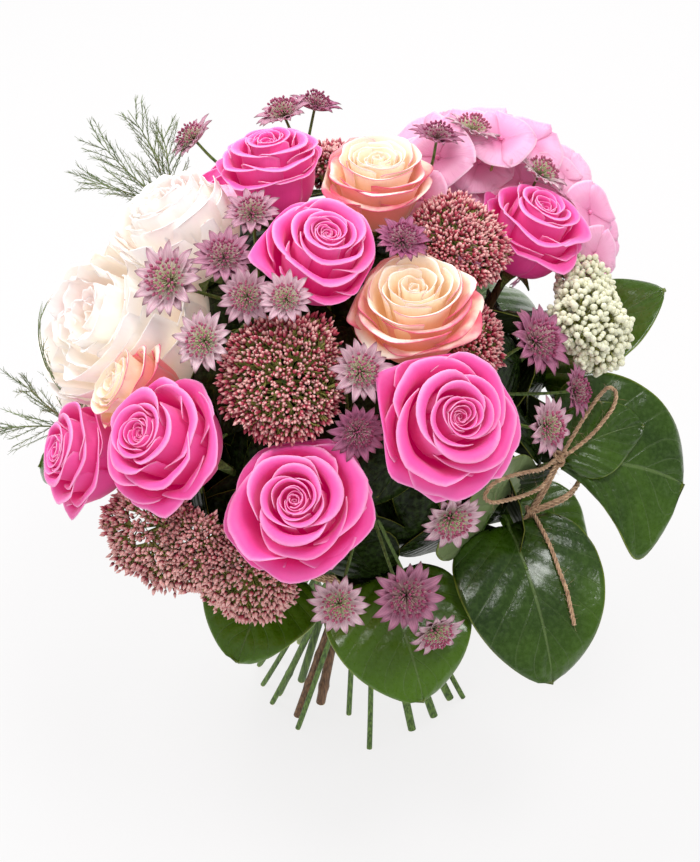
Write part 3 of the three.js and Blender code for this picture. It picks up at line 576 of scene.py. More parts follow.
# %% Recipes
class Recipe(Graph):
    """A Geometry Nodes tree with named inputs."""

    KINDS = {float: "NodeSocketFloat", int: "NodeSocketInt", bpy.types.Object: "NodeSocketObject",
             bpy.types.Material: "NodeSocketMaterial"}

    def __init__(self, name, **kinds):
        super().__init__(bpy.data.node_groups.new(name, "GeometryNodeTree"))
        face = self.tree.interface
        face.new_socket("Geometry", in_out="INPUT", socket_type="NodeSocketGeometry")
        self.sockets = {}
        for label, kind in kinds.items():
            made = face.new_socket(label, in_out="INPUT", socket_type=self.KINDS[kind])
            self.sockets[label] = made.identifier
        face.new_socket("Geometry", in_out="OUTPUT", socket_type="NodeSocketGeometry")
        self.start = self.tree.nodes.new("NodeGroupInput")
        self.source = Term(self, self.start.outputs["Geometry"])

    def given(self, label):
        return Term(self, self.start.outputs[label])

    def mark(self, name, kind="FLOAT"):
        return self.node("GeometryNodeInputNamedAttribute", {"data_type": kind}, {"Name": name})

    def finish(self, geometry):
        """Ends the tree: instances become real faces, and get their material."""
        real = self.node("GeometryNodeRealizeInstances", {}, {"Geometry": geometry})
        smooth = self.node("GeometryNodeSetShadeSmooth", {}, {"Geometry": real, "Shade Smooth": True})
        dressed = {"Geometry": smooth, "Material": self.given("Material")}
        done = self.node("GeometryNodeSetMaterial", {}, dressed)
        self.node("NodeGroupOutput", {}, {"Geometry": done})
        return self

    def run(self, source, **values):
        """Runs the tree on a source mesh and returns the result as a plain mesh."""
        holder = bpy.data.objects.new("source", source)
        bpy.context.scene.collection.objects.link(holder)
        modifier = holder.modifiers.new("recipe", "NODES")
        modifier.node_group = self.tree
        for label, value in values.items():
            modifier[self.sockets[label]] = value
        graph = bpy.context.evaluated_depsgraph_get()
        mesh = bpy.data.meshes.new_from_object(holder.evaluated_get(graph), depsgraph=graph)
        holder.modifiers.remove(modifier)
        bpy.data.objects.remove(holder)
        return mesh


def marked_points(points, lines=(), **marks):
    """A mesh of points, or of lines through them, whose points carry marks for a recipe."""
    mesh = bpy.data.meshes.new("points")
    edges = [(a, a + 1) for start, end in lines for a in range(start, end - 1)]
    mesh.from_pydata((np.asarray(points) * MM).tolist(), edges, [])
    for label, values in marks.items():
        values = np.asarray(values, float)
        kind, field = ("FLOAT_VECTOR", "vector") if values.ndim == 2 else ("FLOAT", "value")
        mesh.attributes.new(label, kind, "POINT").data.foreach_set(field, values.ravel())
    return mesh


def gather_lines(routes):
    """Joins several routes into one list of points, with the start and end of each."""
    ends = np.cumsum([0, *(len(route) for route in routes)])
    return np.concatenate(routes), list(zip(ends[:-1], ends[1:]))


print("helpers ready: Recipe, marked_points and gather_lines")

# %% [markdown]
# Jute twine ties the bunch. Real twine is three yarns laid round each other, so the recipe turns a
# three-lobed profile as it goes along the line. The turn comes from the length along the line, so the lay
# stays the same on a short tail and a long cuff.

# %% Finish and recipe of the twine
TWINE = 2.5
YARN = TWINE / 2 / 2.02  # a yarn's radius, so that three of them fill the twine's width
YARN_OUT = 1.02  # how far a yarn's middle is from the line, in yarn radii
LAY = 9  # the length in which the yarns go once round
TWINE_STEP = 1.2


def jute_finish():
    jute = Finish("jute", Roughness=0.92, Sheen_Weight=0.25, Sheen_Roughness=0.6)
    along = jute.mark("along")
    yarn = jute.mark("yarn")
    vector = jute.node("ShaderNodeCombineXYZ", {}, {0: along * 260, 1: yarn * 9, 2: yarn * 5})
    fibres = jute.noise(vector, 4)
    blotch = jute.noise(jute.place(60), 2)
    colour = jute.mix(jute.rise(fibres, 0.3, 0.72), shade(150, 110, 80), shade(226, 190, 150))
    colour = jute.mix(jute.rise(blotch, 0.35, 0.7) * 0.4, colour, shade(168, 128, 96))
    return jute.set(Base_Color=colour, Normal=jute.bump(fibres, 0.0004, 0.8))


def twine_recipe():
    """Input lines become twine. The yarns lie at their own radius from the line."""
    twine = Recipe("twine", Material=bpy.types.Material, Yarn=float, Lay=float, Step=float)
    on_points = {"data_type": "FLOAT", "domain": "POINT"}
    line = twine.node("GeometryNodeMeshToCurve", {}, {"Mesh": twine.source})
    even = {"Curve": line, "Length": twine.given("Step")}
    line = twine.node("GeometryNodeResampleCurve", {"mode": "LENGTH"}, even)
    length = twine.node("GeometryNodeSplineParameter", {}, {}, output=1)
    along = {"Geometry": line, "Name": "along", "Value": length}
    line = twine.node("GeometryNodeStoreNamedAttribute", on_points, along)
    tilt = length / twine.given("Lay") * (2 * math.pi)
    line = twine.node("GeometryNodeSetCurveTilt", {}, {"Curve": line, "Tilt": tilt})
    join = twine.tree.nodes.new("GeometryNodeJoinGeometry")
    yarn = twine.given("Yarn")
    for k in range(3):
        ring = twine.node("GeometryNodeCurvePrimitiveCircle", {}, {"Resolution": 7, "Radius": yarn})
        number = {"Geometry": ring, "Name": "yarn", "Value": float(k)}
        ring = twine.node("GeometryNodeStoreNamedAttribute", on_points, number)
        angle = 2 * math.pi * k / 3
        across = {0: yarn * (YARN_OUT * math.cos(angle)), 1: yarn * (YARN_OUT * math.sin(angle))}
        shift = twine.node("ShaderNodeCombineXYZ", {}, across)
        ring = twine.node("GeometryNodeTransform", {}, {"Geometry": ring, "Translation": shift})
        twine.tree.links.new(ring.socket, join.inputs[0])
    sweep = {"Curve": line, "Profile Curve": Term(twine, join.outputs[0]), "Fill Caps": True}
    return twine.finish(twine.node("GeometryNodeCurveToMesh", {}, sweep))


JUTE = jute_finish()
TWINE_RECIPE = twine_recipe()


def twine_mesh(*routes):
    sizes = {"Yarn": YARN * MM, "Lay": LAY * MM, "Step": TWINE_STEP * MM}
    return TWINE_RECIPE.run(marked_points(*gather_lines(routes)), Material=JUTE, **sizes)


def fuzz(seed, *routes):
    """Loose fibres of jute that stand out from the twine, each a bent three-sided hair."""
    chance = np.random.default_rng(seed)
    heap = Heap("along", "yarn")
    long = 6
    points, faces, uv = lathe_body([(0, 0), (0.07, 0.2), (0.06, 2), (0.05, 4), (0, long)], 3)
    for route in routes:
        for point in np.repeat(route, 2, 0):
            away = basis(direction(chance.uniform(0, 360), chance.uniform(20, 160))).T
            hair = points * (1, 1, chance.uniform(0.3, 0.9)) @ away
            heap.add(hair + point + chance.normal(0, 1.2, 3) * (points[:, 2:] / long) ** 2, faces, uv)
    mesh = heap.mesh("fuzz")
    mesh.materials.append(JUTE)
    return mesh


print("twine:", TWINE, "mm thick, laid once round in", LAY, "mm")

# %% [markdown]
# The free lengths of the twine come before everything else that is made: the two loops of the bow and the
# long tail. Their routes repeat those of the solids. A loop leaves the knot and comes back to it, and the
# tail ends in a bare cut. The tail's route bends over the leaf that it lies on.

# %% Bow loops and tail
BOW = (-20, 126, 234)
CUFF = [
    (-29, 119, 207), (-20, 134, 209), (-10, 136, 208), (4, 124, 203), (28, 111, 196), (54, 107, 190),
    (86, 106, 188), (116, 107, 188), (148, 106, 186), (178, 107, 186), (-150, 106, 184), (-130, 104, 182),
    (-107, 101, 182), (-90, 101, 184), (-76, 104, 185), (-58, 108, 188), (-44, 113, 192),
]
FREE_TWINE = {
    "bow_loop_left": [
        (97.3, -47, 236.2), (90, -57, 240), (80, -65, 246), (70, -72, 250), (61, -79, 251), (58, -83, 247),
        (62, -82, 242), (70, -77, 238), (80, -70, 234), (90, -61, 231), (97.9, -47.6, 231.9),
    ],
    "bow_loop_right": [
        (102.3, -43, 238.8), (108, -37, 247), (114, -29, 252), (121, -20, 256), (127, -14, 257),
        (131, -14, 253), (130, -19, 249), (124, -27, 245), (116, -35, 241), (105.2, -41.8, 235.9),
    ],
    "tail_long": [
        (87.5, -62, 209.6), (90, -69, 209.3), (93, -77, 208.3), (96, -86, 206.2), (99, -95, 202),
        (102, -103, 198), (104, -110, 192.5), (106, -117, 186),
    ],
}
for name, corners in FREE_TWINE.items():
    route = smooth_line(corners, step=1.5)
    length = np.linalg.norm(np.diff(route, axis=0), axis=1).sum()
    cord = piece(name + "_twine", twine_mesh(route), "jute_twine", name)
    hairs = piece(name + "_fuzz", fuzz(90, route), "jute_twine")
    length * MM
    "bare" if name == "tail_long" else "object"
    print(name, round(length, 1), "mm long")

# %% [markdown]
# The cuff runs twice round the leaf stalks, side by side, and two strands climb from its knot to the knot
# of the bow. A knot is a short tight curl of the same twine. Round the waist the twine makes three turns.

# %% Cuff, knots and tie
def beside(route, shift):
    """The same route, moved sideways and outwards by a half strand."""
    outward = route - np.array([SIDEWAYS, 0, 0])
    outward[:, 2] = 0
    outward /= np.linalg.norm(outward, axis=1, keepdims=True)
    return route + outward * abs(shift) * 0.3 + UP * shift


def knot_route(centre, radius, tilt):
    """A curl that crosses itself, like a granny knot pulled tight."""
    t = np.linspace(0, 2 * math.pi, 60)
    x, y = np.sin(t) + 1.6 * np.sin(2 * t), np.cos(t) - 1.6 * np.cos(2 * t)
    shape = np.stack([x, y, -1.3 * np.sin(3 * t)], -1)
    return shape * (radius / 2.6) @ basis(direction(*tilt)).T + centre


cuff_line = smooth_line([ring_point(*point) for point in [*CUFF, CUFF[0]]], step=3)
cuff_knot = ring_point(*CUFF[0])
bow_knot = ring_point(*BOW)
climb = [
    cuff_knot + (bow_knot - cuff_knot) * t + np.array([0, -1.5, 0]) * math.sin(math.pi * t)
    for t in (0, 0.33, 0.67, 1)
]
aside = np.array([1.2, 0.6, 0])
strands = [
    beside(cuff_line, TWINE * 0.5),
    beside(cuff_line, -TWINE * 0.5),
    smooth_line([p + aside for p in climb]),
    smooth_line([p - aside for p in climb]),
    knot_route(cuff_knot, 3.4, (-60, 60)),
    knot_route(bow_knot, 4.2, (-70, 50)),
    knot_route(bow_knot, 3.0, (10, 80)),
]
steps = [(0, 0, 0), (3, -8, 0.5), (9, -13, -1.5), (13, -19, -3)]
short_end = smooth_line([cuff_knot + np.array(step) for step in steps])
cuff = joined(twine_mesh(*strands, short_end), fuzz(91, *strands[:4]))
piece("cuff_and_knots", cuff, "jute_twine", "cuff_twine")

TIE_TURNS = 3
THICKEST_STEM = 2.9
turns = np.linspace(0, TIE_TURNS * 2 * math.pi, 300)
tie_radius = RINGS["thin"][0] + THICKEST_STEM + TWINE / 2
climbing = WAIST + (turns / (2 * math.pi) - TIE_TURNS / 2) * TWINE * 0.98
tie_line = np.stack([SIDEWAYS + tie_radius * np.cos(turns), tie_radius * np.sin(turns), climbing], -1)
piece("waist_tie", twine_mesh(tie_line), "jute_twine", "stem_tie")
print("twine laid; the tie's radius is", round(tie_radius, 2), "mm")

# %% [markdown]
# Flowers in a bunch press on each other. Where two heads would overlap, both give way to a flat face
# between them: points near the face are squeezed towards it and never cross it.

# %% Making room between heads
PRESSED = 0.95  # how much of its radius a bloom keeps where it meets another
SOFTNESS = 5.0
heads = []
for name, _, _, seat, _, size, _ in [*ROSES, *PEONIES]:
    heads.append((name, seat_point(seat), size * PRESSED))
for name, _, _, seat, _, size in HYDRANGEAS:
    heads.append((name, seat_point(seat), size))
for name, _, _, lobes in STONECROPS:
    heads.extend((name, seat_point(seat), size) for seat, _, size in lobes)
heads.append((RICE_FLOWER[0], seat_point(RICE_FLOWER[3]), RICE_FLOWER[5]))
for name, _, _, _, blooms in MASTERWORTS:
    heads.extend((name, seat_point(seat), size) for seat, _, size, _ in blooms)


def make_room(points, name, centre, radius):
    """Squeezes a head's points back from the faces that it shares with its neighbours."""
    for other, place, reach in heads:
        way = place - centre
        apart = np.linalg.norm(way)
        if other == name or apart > radius + reach or "hydrangea" in other + name:
            continue
        way /= apart
        split = apart / 2 + (radius**2 - reach**2) / (2 * apart) - 0.4
        over = (points - centre) @ way - (split - SOFTNESS)
        squeezed = SOFTNESS * (1 - np.exp(-np.maximum(over, 0) / SOFTNESS))
        points = points - np.maximum(np.maximum(over, 0) - squeezed, 0)[..., None] * way
    return points


def around_heads(points, kinds, share=0.92):
    """Moves points out of the balls that heads of some kinds fill, to where they would rest on them."""
    for other, place, reach in heads:
        if other.startswith(kinds):
            away = points - place
            apart = np.linalg.norm(away, axis=-1, keepdims=True)
            points = place + away * np.maximum(1, share * reach / np.maximum(apart, 1))
    return points


print("heads that make room:", len(heads))

# %% [markdown]
# A petal is a sheet on a grid: u runs across it and v from its foot to its rim. Its line says how far it
# stands from the axis and how high, from foot to rim. One side edge laps under its neighbour and the
# other over it, which gives a rose its spiral. The rim rolls outwards, and the tip of an outer petal
# draws out to a point.

# %% Petals
def bezier(corners, t):
    """Where a curve with four corners is at each t, as two coordinates."""
    s = 1 - t
    weights = (s**3, 3 * s * s * t, 3 * s * t * t, t**3)
    return [sum(w * corner[k] for w, corner in zip(weights, corners)) for k in (0, 1)]


def rise(x, low, high):
    """0 below low, 1 above high, and a smooth step between."""
    t = np.clip((x - low) / (high - low), 0, 1)
    return t * t * (3 - 2 * t)


ROLL_FROM = 0.86  # the share of a petal's length where its rim starts to roll
PETAL_ROWS = 18
PETAL_COLUMNS = 21
PETAL_THICKNESS = 0.45


def petal_grid(turn, share, line, lap, point, roll, curl, frill, phase):
    """The middle surface of a petal that stands round +Z. Turn, share and curl are in degrees. The phase
    makes its waves and corners unlike those of its neighbours."""
    u = np.linspace(-1, 1, PETAL_COLUMNS)[None, :]
    v = (1 - (1 - np.linspace(0, 1, PETAL_ROWS)) ** 1.6)[:, None]
    side = np.abs(u)
    along = v * (1 - 0.17 * side**2.6)
    reach, height = bezier(line, np.minimum(along / ROLL_FROM, 1))
    (r0, h0), (r1, h1) = line[2], line[3]
    lean = math.atan2(r1 - r0, h1 - h0)
    arc = math.radians(curl) * np.clip((along - ROLL_FROM) / (1 - ROLL_FROM), 0, 1)
    reach = reach + roll * (math.sin(lean) * np.sin(arc) + math.cos(lean) * (1 - np.cos(arc)))
    height = height + roll * (math.cos(lean) * np.sin(arc) - math.sin(lean) * (1 - np.cos(arc)))
    half = math.radians(share / 2) * (0.55 + 0.75 * np.sin(math.pi / 2 * np.minimum(1, 1.6 * v)))
    skew, second = 0.16 * math.sin(3 * phase), 0.62 * np.sign(math.sin(5 * phase))
    corner = np.maximum(0, 1 - np.abs(u - skew) / 0.6) + 0.8 * np.maximum(0, 1 - np.abs(u - second) / 0.34)
    tip = point * corner * v**3
    wave = frill * (np.sin(5.2 * u + phase) + 0.6 * np.sin(11 * u + 2.3 * phase)) * v**3
    slack = (0.5 * np.sin(2.4 * u + phase) + 0.3 * np.sin(4.1 * u - 2 * phase)) * rise(v, 0.2, 1.0)
    radius = reach + lap * u * np.minimum(1, 2 * v) + tip + wave + slack
    z = height - 0.3 * tip + 0.6 * wave + 0.4 * slack
    angle = math.radians(turn) + u * half
    return np.stack([radius * np.cos(angle), radius * np.sin(angle), z], -1)


one_petal = petal_grid(0, 102, [(3, 2), (29, -1), (20.5, 27), (25.6, 35)], 2.0, 6.4, 1.8, 80, 0.15, 0)
print("an outer petal has", one_petal.shape[0] * one_petal.shape[1], "points and is",
      round(float(np.ptp(one_petal[..., 1])), 1), "mm wide")

# %% [markdown]
# A bloom is built in rounds from its tight heart outwards. The pink roses have nine rounds with 29 petals,
# the cream ones seven looser rounds, and the peonies six rounds of broad frilled petals. Each row gives
# the count, the share of the circle in degrees, the line from foot to rim, lap, point, roll and curl. The
# outer rounds lean out further when the bloom is more open.

# %% Rounds of petals
UNIT = 34  # the radius of the bloom that the rows describe, which is then scaled
BLOOM_HEIGHT = 50


def rose_rounds(open_):
    return [
        (2, 200, [(0.4, 14), (1.9, 20), (1.6, 32), (0.9, 43)], 0.5, 0, 0.25, 60),
        (3, 165, [(2, 12), (3.6, 20), (3.2, 36), (2.2, 44.6)], 0.6, 0, 0.4, 70),
        (3, 155, [(3, 10), (5.6, 18), (5.2, 36), (3.7, 45.8)], 0.8, 0, 0.5, 80),
        (3, 150, [(3, 9), (8, 16), (7.4, 34), (5.7, 46.8)], 1.0, 0, 0.7, 90),
        (3, 146, [(4, 8), (11, 14), (9.6, 34), (8.2, 47)], 1.3, 0.3, 1.0, 110),
        (3, 140, [(4, 8), (14.5, 12), (12.2, 32), (11 + 0.5 * open_, 46.2)], 1.9, 0.9, 1.8, 125),
        (3, 136, [(4, 7), (18, 10), (15.6, 31), (15 + open_, 44.4 - 0.4 * open_)], 2.4, 1.9, 2.7, 130),
        (4, 114, [(4, 5), (24, 5), (18.2, 29), (20.4 + 2.6 * open_, 41 - 2.6 * open_)], 2.4, 4.4, 2.5, 110),
        (5, 102, [(3, 2), (29, -1), (20.5, 27), (25.6 + 4.4 * open_, 35 - 6.8 * open_)], 2.0, 6.4, 1.8, 80),
    ]


def cream_rounds(open_):
    return [
        (2, 200, [(0.4, 14), (3.2, 20), (3.2, 34), (2.3, 42)], 0.6, 0, 0.2, 60),
        (3, 150, [(3, 10), (6, 18), (6.4, 36), (6.4, 44)], 1.0, 0, 0.3, 60),
        (3, 144, [(4, 9), (9, 14), (9.4, 32), (11.2, 45)], 1.8, 0.4, 0.4, 60),
        (4, 118, [(4, 8), (12, 12), (12, 31), (15.6, 45.2)], 2.2, 0.8, 0.6, 60),
        (4, 116, [(4, 6), (17, 9), (14.5, 30), (20 + 1.2 * open_, 43.8 - 0.8 * open_)], 2.4, 1.4, 0.9, 70),
        (5, 102, [(4, 5), (22, 5), (18, 29), (23.6 + 3 * open_, 40.5 - 3 * open_)], 2.2, 2.4, 1.3, 85),
        (5, 96, [(3, 2), (28, -1), (21, 27), (27 + 4.6 * open_, 34.5 - 7 * open_)], 1.8, 3.6, 1.8, 90),
    ]


def peony_rounds(open_):
    return [
        (3, 140, [(1, 12), (4, 20), (5, 36), (4, 43)], 0.9, 0, 0.3, 40),
        (5, 100, [(3, 10), (9, 16), (10, 34), (8, 46)], 1.4, 0.6, 0.3, 40),
        (6, 92, [(4, 9), (14, 12), (15, 33), (13 + open_, 46.5)], 1.8, 0.8, 0.4, 40),
        (6, 90, [(4, 7), (20, 9), (20, 30), (18 + 2.5 * open_, 45 - 1.5 * open_)], 2.0, 1.0, 0.6, 50),
        (6, 92, [(4, 5), (26, 6), (25, 27), (22.5 + 5 * open_, 42 - 4 * open_)], 2.2, 1.2, 0.8, 50),
        (6, 88, [(3, 4), (31, 1), (29, 25), (26.5 + 6.5 * open_, 36 - 8 * open_)], 2.0, 1.5, 0.8, 60),
    ]


for kind, rounds in [("pink rose", rose_rounds), ("cream rose", cream_rounds), ("peony", peony_rounds)]:
    print(kind, "petals:", sum(row[0] for row in rounds(1)))

# %% [markdown]
# No petal is quite like the next, so each one gets a small turn, tilt and stretch by chance. The seed is
# fixed for every bloom, so each run gives the same bunch, and no two blooms are alike.

# %% A bloom
BETWEEN_ROUNDS = GOLDEN_TURN / 2


def bloom(name, rounds, centre, axis, size, spin, frill, wild, seed):
    """All petals of a bloom in one heap. The mark layer runs from 0 at the heart to 1 outside."""
    chance = np.random.default_rng(seed)
    heap = Heap("back", "tint", "layer")
    scale = size / UNIT
    base = centre - axis * BLOOM_HEIGHT * scale * 0.5
    turned = basis(axis, spin)
    start = 0.0
    for k, (count, share, line, lap, point, roll, curl) in enumerate(rounds):
        start += BETWEEN_ROUNDS
        for n in range(count):
            jitter = chance.uniform(-1, 1, 6)
            moved = [
                (reach * (1 + 0.06 * wild * jitter[0] * t), height + 1.2 * wild * jitter[1] * t)
                for t, (reach, height) in zip((0, 0.3, 0.7, 1), line)
            ]
            middle = petal_grid(
                start + 360 * n / count + 9 * wild * jitter[2],
                share * (1 + 0.06 * jitter[3]),
                moved,
                lap,
                point * (1 + 0.4 * jitter[4]),
                roll * (1 + 0.3 * jitter[5]),
                curl,
                frill * (0.4 + 0.6 * k / (len(rounds) - 1)),
                chance.uniform(0, 6.28),
            )
            middle = base + (middle * scale) @ turned.T
            middle = make_room(middle, name, centre, size * PRESSED)
            tint = chance.uniform(0, 1)
            heap.add_sheet(middle, PETAL_THICKNESS, tint=tint, layer=k / (len(rounds) - 1))
    return heap


print("rounds are turned by", BETWEEN_ROUNDS, "degrees from each other")

# %% [markdown]
# Rose petals are velvety, and light soaks a little way into them, so the shader has some subsurface and
# some sheen. Their colour is painted deep at the foot, as painted shade in the crevices where light bounces
# from petal to petal, and pale along the very edge, partly the petal's own paler margin and partly a painted
# highlight where the rolled rim catches the light. A painted glow in each petal stands in for light that
# shines through it into the folds. Fine veins run up each petal, and a few specks mark where it was bruised.

# %% Finishes of the petals
def petal_finish(name, subsurface, radius):
    petal = Finish(
        name,
        Roughness=0.55,
        Sheen_Weight=0.2,
        Sheen_Roughness=0.4,
        Subsurface_Weight=subsurface,
        Subsurface_Radius=radius,
        Subsurface_Scale=0.003,
        Specular_IOR_Level=0.35,
        Emission_Strength=1.0,
    )
    both, u, v = petal.surface()
    vein_space = petal.node("ShaderNodeVectorMath", {"operation": "MULTIPLY"}, {0: both, 1: (46, 3, 1)})
    veins = petal.noise(vein_space, 3)
    return petal, u, v, veins


def pink_finish():
    pink, _, v, veins = petal_finish("pink_rose_petal", 0.2, (1.0, 0.4, 0.65))
    cloud = pink.noise(pink.place(40), 2)
    # painted shade: deep magenta at the foot of each petal, where the crevices between petals are
    colour = pink.mix(pink.rise(v, 0.3, 0.88), shade(208, 6, 106), shade(238, 84, 166))
    # pale rim band: partly the petal's own paler margin, partly painted highlight on the rolled rim
    colour = pink.mix(pink.rise(v, 0.82, 0.97), colour, shade(252, 164, 212))
    colour = pink.mix(pink.mark("back") * 0.35, colour, shade(236, 120, 186))
    colour = pink.mix(pink.rise(cloud, 0.3, 0.75) * 0.3, colour, shade(240, 134, 194))
    colour = pink.mix(pink.mark("tint") * 0.2, colour, shade(222, 54, 146))
    colour = pink.mix(pink.rise(veins, 0.5, 0.8) * 0.14, colour, shade(212, 48, 142))
    # thin pale line on the very edge: partly the paler margin, partly painted highlight
    colour = pink.mix(pink.rise(v, 0.985, 1.0) * 0.4, colour, shade(250, 204, 228))
    speck = pink.noise(pink.place(900), 2)
    worn = pink.rise(speck, 0.68, 0.76) * pink.rise(v, 0.8, 1.0) * pink.rise(pink.mark("layer"), 0.5, 1.0)
    colour = pink.mix(worn * 0.5, colour, shade(240, 210, 150))
    # painted glow: light that shines through the petals into the deep folds
    painted_glow = pink.mix(pink.rise(v, 0.4, 0.95), (0.12, 0.0, 0.035, 1), (0.05, 0.008, 0.025, 1))
    return pink.set(Base_Color=colour, Emission_Color=painted_glow, Normal=pink.bump(veins, 0.00025, 0.5))


def cream_finish():
    cream, u, v, veins = petal_finish("cream_rose_petal", 0.2, (1.0, 0.8, 0.6))
    layer = cream.mark("layer")
    back = cream.mark("back")
    colour = cream.mix(cream.rise(v, 0.3, 0.85), shade(250, 222, 188), shade(253, 240, 220))
    colour = cream.mix(cream.rise(v, 0.86, 1.0) * 0.8, colour, shade(253, 240, 234))
    colour = cream.mix(cream.rise(veins, 0.45, 0.8) * 0.12, colour, shade(250, 216, 180))
    edge = cream.node("ShaderNodeMath", {"operation": "ABSOLUTE"}, {0: u * 2 - 1})
    patch = cream.noise(cream.place(55), 3)
    outer = cream.rise(layer, 0.4, 0.9)
    blush = outer * cream.rise(v * 0.7 + patch * 0.6 + edge * 0.2, 0.8, 1.15)
    colour = cream.mix(blush * 0.75, colour, shade(240, 152, 168))
    flush = cream.rise(layer, 0.6, 0.95) * cream.rise(patch + edge * 0.3 + back * 0.3, 0.46, 0.76)
    colour = cream.mix(flush * 0.95, colour, shade(228, 62, 108))
    rim = cream.rise(v + veins * 0.06 + patch * 0.06 + outer * 0.04, 0.99, 1.05) * (0.3 + outer * 0.7)
    colour = cream.mix(rim, colour, shade(222, 50, 110))
    # painted glow: light that shines through the petals into the deep folds
    painted_glow = cream.mix(cream.rise(v, 0.4, 0.95), (0.12, 0.07, 0.035, 1), (0.06, 0.05, 0.04, 1))
    return cream.set(Base_Color=colour, Emission_Color=painted_glow, Normal=cream.bump(veins, 0.00025, 0.5))


def blush_finish():
    blush, _, v, veins = petal_finish("peony_petal", 0.3, (1.0, 0.8, 0.75))
    cloud = blush.noise(blush.place(28), 3)
    warm = blush.noise(blush.place(60), 2)
    colour = blush.mix(blush.rise(v, 0.3, 0.9), shade(242, 230, 214), shade(242, 237, 235))
    colour = blush.mix(blush.rise(cloud, 0.42, 0.7) * 0.6, colour, shade(244, 218, 222))
    colour = blush.mix(blush.rise(warm, 0.55, 0.75) * 0.4, colour, shade(244, 230, 188))
    colour = blush.mix(blush.rise(veins, 0.5, 0.8) * 0.12, colour, shade(246, 208, 206))
    streak = blush.noise(blush.place(300), 1)
    fleck = blush.rise(streak, 0.74, 0.78) * blush.rise(v, 0.8, 0.97)
    fleck = fleck * blush.rise(blush.mark("tint"), 0.6, 0.7)
    colour = blush.mix(fleck * 0.85, colour, shade(176, 24, 66))
    # painted glow: light through the petals and painted fill light, which keeps the folds nearly white
    painted_glow = blush.mix(blush.rise(v, 0.3, 0.9), (0.16, 0.14, 0.115, 1), (0.12, 0.115, 0.11, 1))
    return blush.set(Base_Color=colour, Emission_Color=painted_glow, Normal=blush.bump(veins, 0.0003, 0.5))


PINK = pink_finish()
CREAM = cream_finish()
BLUSH = blush_finish()
print("petal finishes:", PINK.name, CREAM.name, BLUSH.name)

# %% [markdown]
# Now the blooms themselves. Each stands on its seat and looks along its face, and takes the place of the
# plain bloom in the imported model. Where it ends below is kept, because its calyx and stem start there.

# %% Roses and peonies
def calyx_end(centre, axis, size):
    """Where a bloom ends below, the way it looks, and how far its sepals reach."""
    return centre - axis * (BLOOM_HEIGHT * size / UNIT * 0.5 + GAP), axis, size * 0.5


calyx_ends = {}
for k, (name, _, _, seat, face, size, open_) in enumerate(ROSES):
    is_pink = "pink" in name
    axis = direction(*face)
    centre = seat_point(seat)
    calyx_ends[name] = calyx_end(centre, axis, size)
    rounds, frill = (rose_rounds(open_), 0.15) if is_pink else (cream_rounds(open_), 0.9)
    heap = bloom(name, rounds, centre, axis, size, 40 * k, frill, 1.1 if is_pink else 1.5, 100 + k)
    piece(name + "_petals", heap.mesh(name), "pink_petal" if is_pink else "cream_petal", name + "_bloom",
          material=PINK if is_pink else CREAM)
for k, (name, _, _, seat, face, size, open_) in enumerate(PEONIES):
    axis = direction(*face)
    centre = seat_point(seat)
    calyx_ends[name] = calyx_end(centre, axis, size)
    heap = bloom(name, peony_rounds(open_), centre, axis, size, 55 * k, 2.2, 2.4, 200 + k)
    piece(name + "_petals", heap.mesh(name), "blush_petal", name + "_bloom", material=BLUSH)
print("blooms:", len(calyx_ends))

# %% [markdown]
# Leaves are leathery and glossy. Their finish draws the midrib, side veins that arch forward, and a thin
# yellow-green margin; the underside is paler and dull. Leaves deep inside the bunch are painted much darker,
# as painted shade for the inside of the bunch.

# %% Finish of the leaves
def leaf_finish(name, deep, fresh, bright, under, gloss):
    leaf = Finish(name, Specular_IOR_Level=0.35 * gloss, Coat_Roughness=0.16)
    _, u, v = leaf.surface()
    side = leaf.node("ShaderNodeMath", {"operation": "ABSOLUTE"}, {0: u * 2 - 1})
    back = leaf.mark("back")
    wobble = leaf.noise(leaf.place(30), 2)
    step = (v - side**0.8 * 0.42) * 6 + wobble * 0.5
    saw = leaf.node("ShaderNodeMath", {"operation": "PINGPONG"}, {0: step, 1: 0.5})
    vein = 1 - leaf.rise(saw, 0.0, 0.06)
    rib = 1 - leaf.rise(side, 0.01, 0.035)
    fine = leaf.noise(leaf.place(420), 2)
    cloud = leaf.noise(leaf.place(18), 3)
    colour = leaf.mix(leaf.rise(cloud, 0.3, 0.7), deep, fresh)
    colour = leaf.mix(leaf.mark("tint"), colour, bright)
    colour = leaf.mix(leaf.rise(fine, 0.4, 0.7) * 0.15, colour, shade(96, 130, 60))
    colour = leaf.mix(back, colour, leaf.mix(leaf.rise(cloud, 0.3, 0.7) * 0.3, under, bright))
    colour = leaf.mix(leaf.node("ShaderNodeMath", {"operation": "MAXIMUM"}, {0: vein * 0.14, 1: rib * 0.5}),
                      colour, leaf.mix(0.6, bright, under))
    edge = leaf.rise(leaf.node("ShaderNodeMath", {"operation": "MAXIMUM"}, {0: side, 1: v}), 0.975, 0.995)
    colour = leaf.mix(edge * 0.45, colour, leaf.mix(0.5, bright, shade(190, 196, 80)))
    pucker = leaf.noise(leaf.place(95), 3)
    height = fine * 0.3 - vein * 0.25 - rib * 0.5 + leaf.rise(saw, 0.0, 0.5) * 0.5 + pucker * 1.3
    return leaf.set(Base_Color=colour, Roughness=0.22 + back * 0.2 + fine * 0.14,
                    Coat_Weight=(1 - back * 0.6) * gloss * 0.55, Normal=leaf.bump(height, 0.0012, 0.7))


outer_greens = [shade(30, 56, 4), shade(60, 92, 6), shade(76, 112, 8), shade(126, 142, 98)]
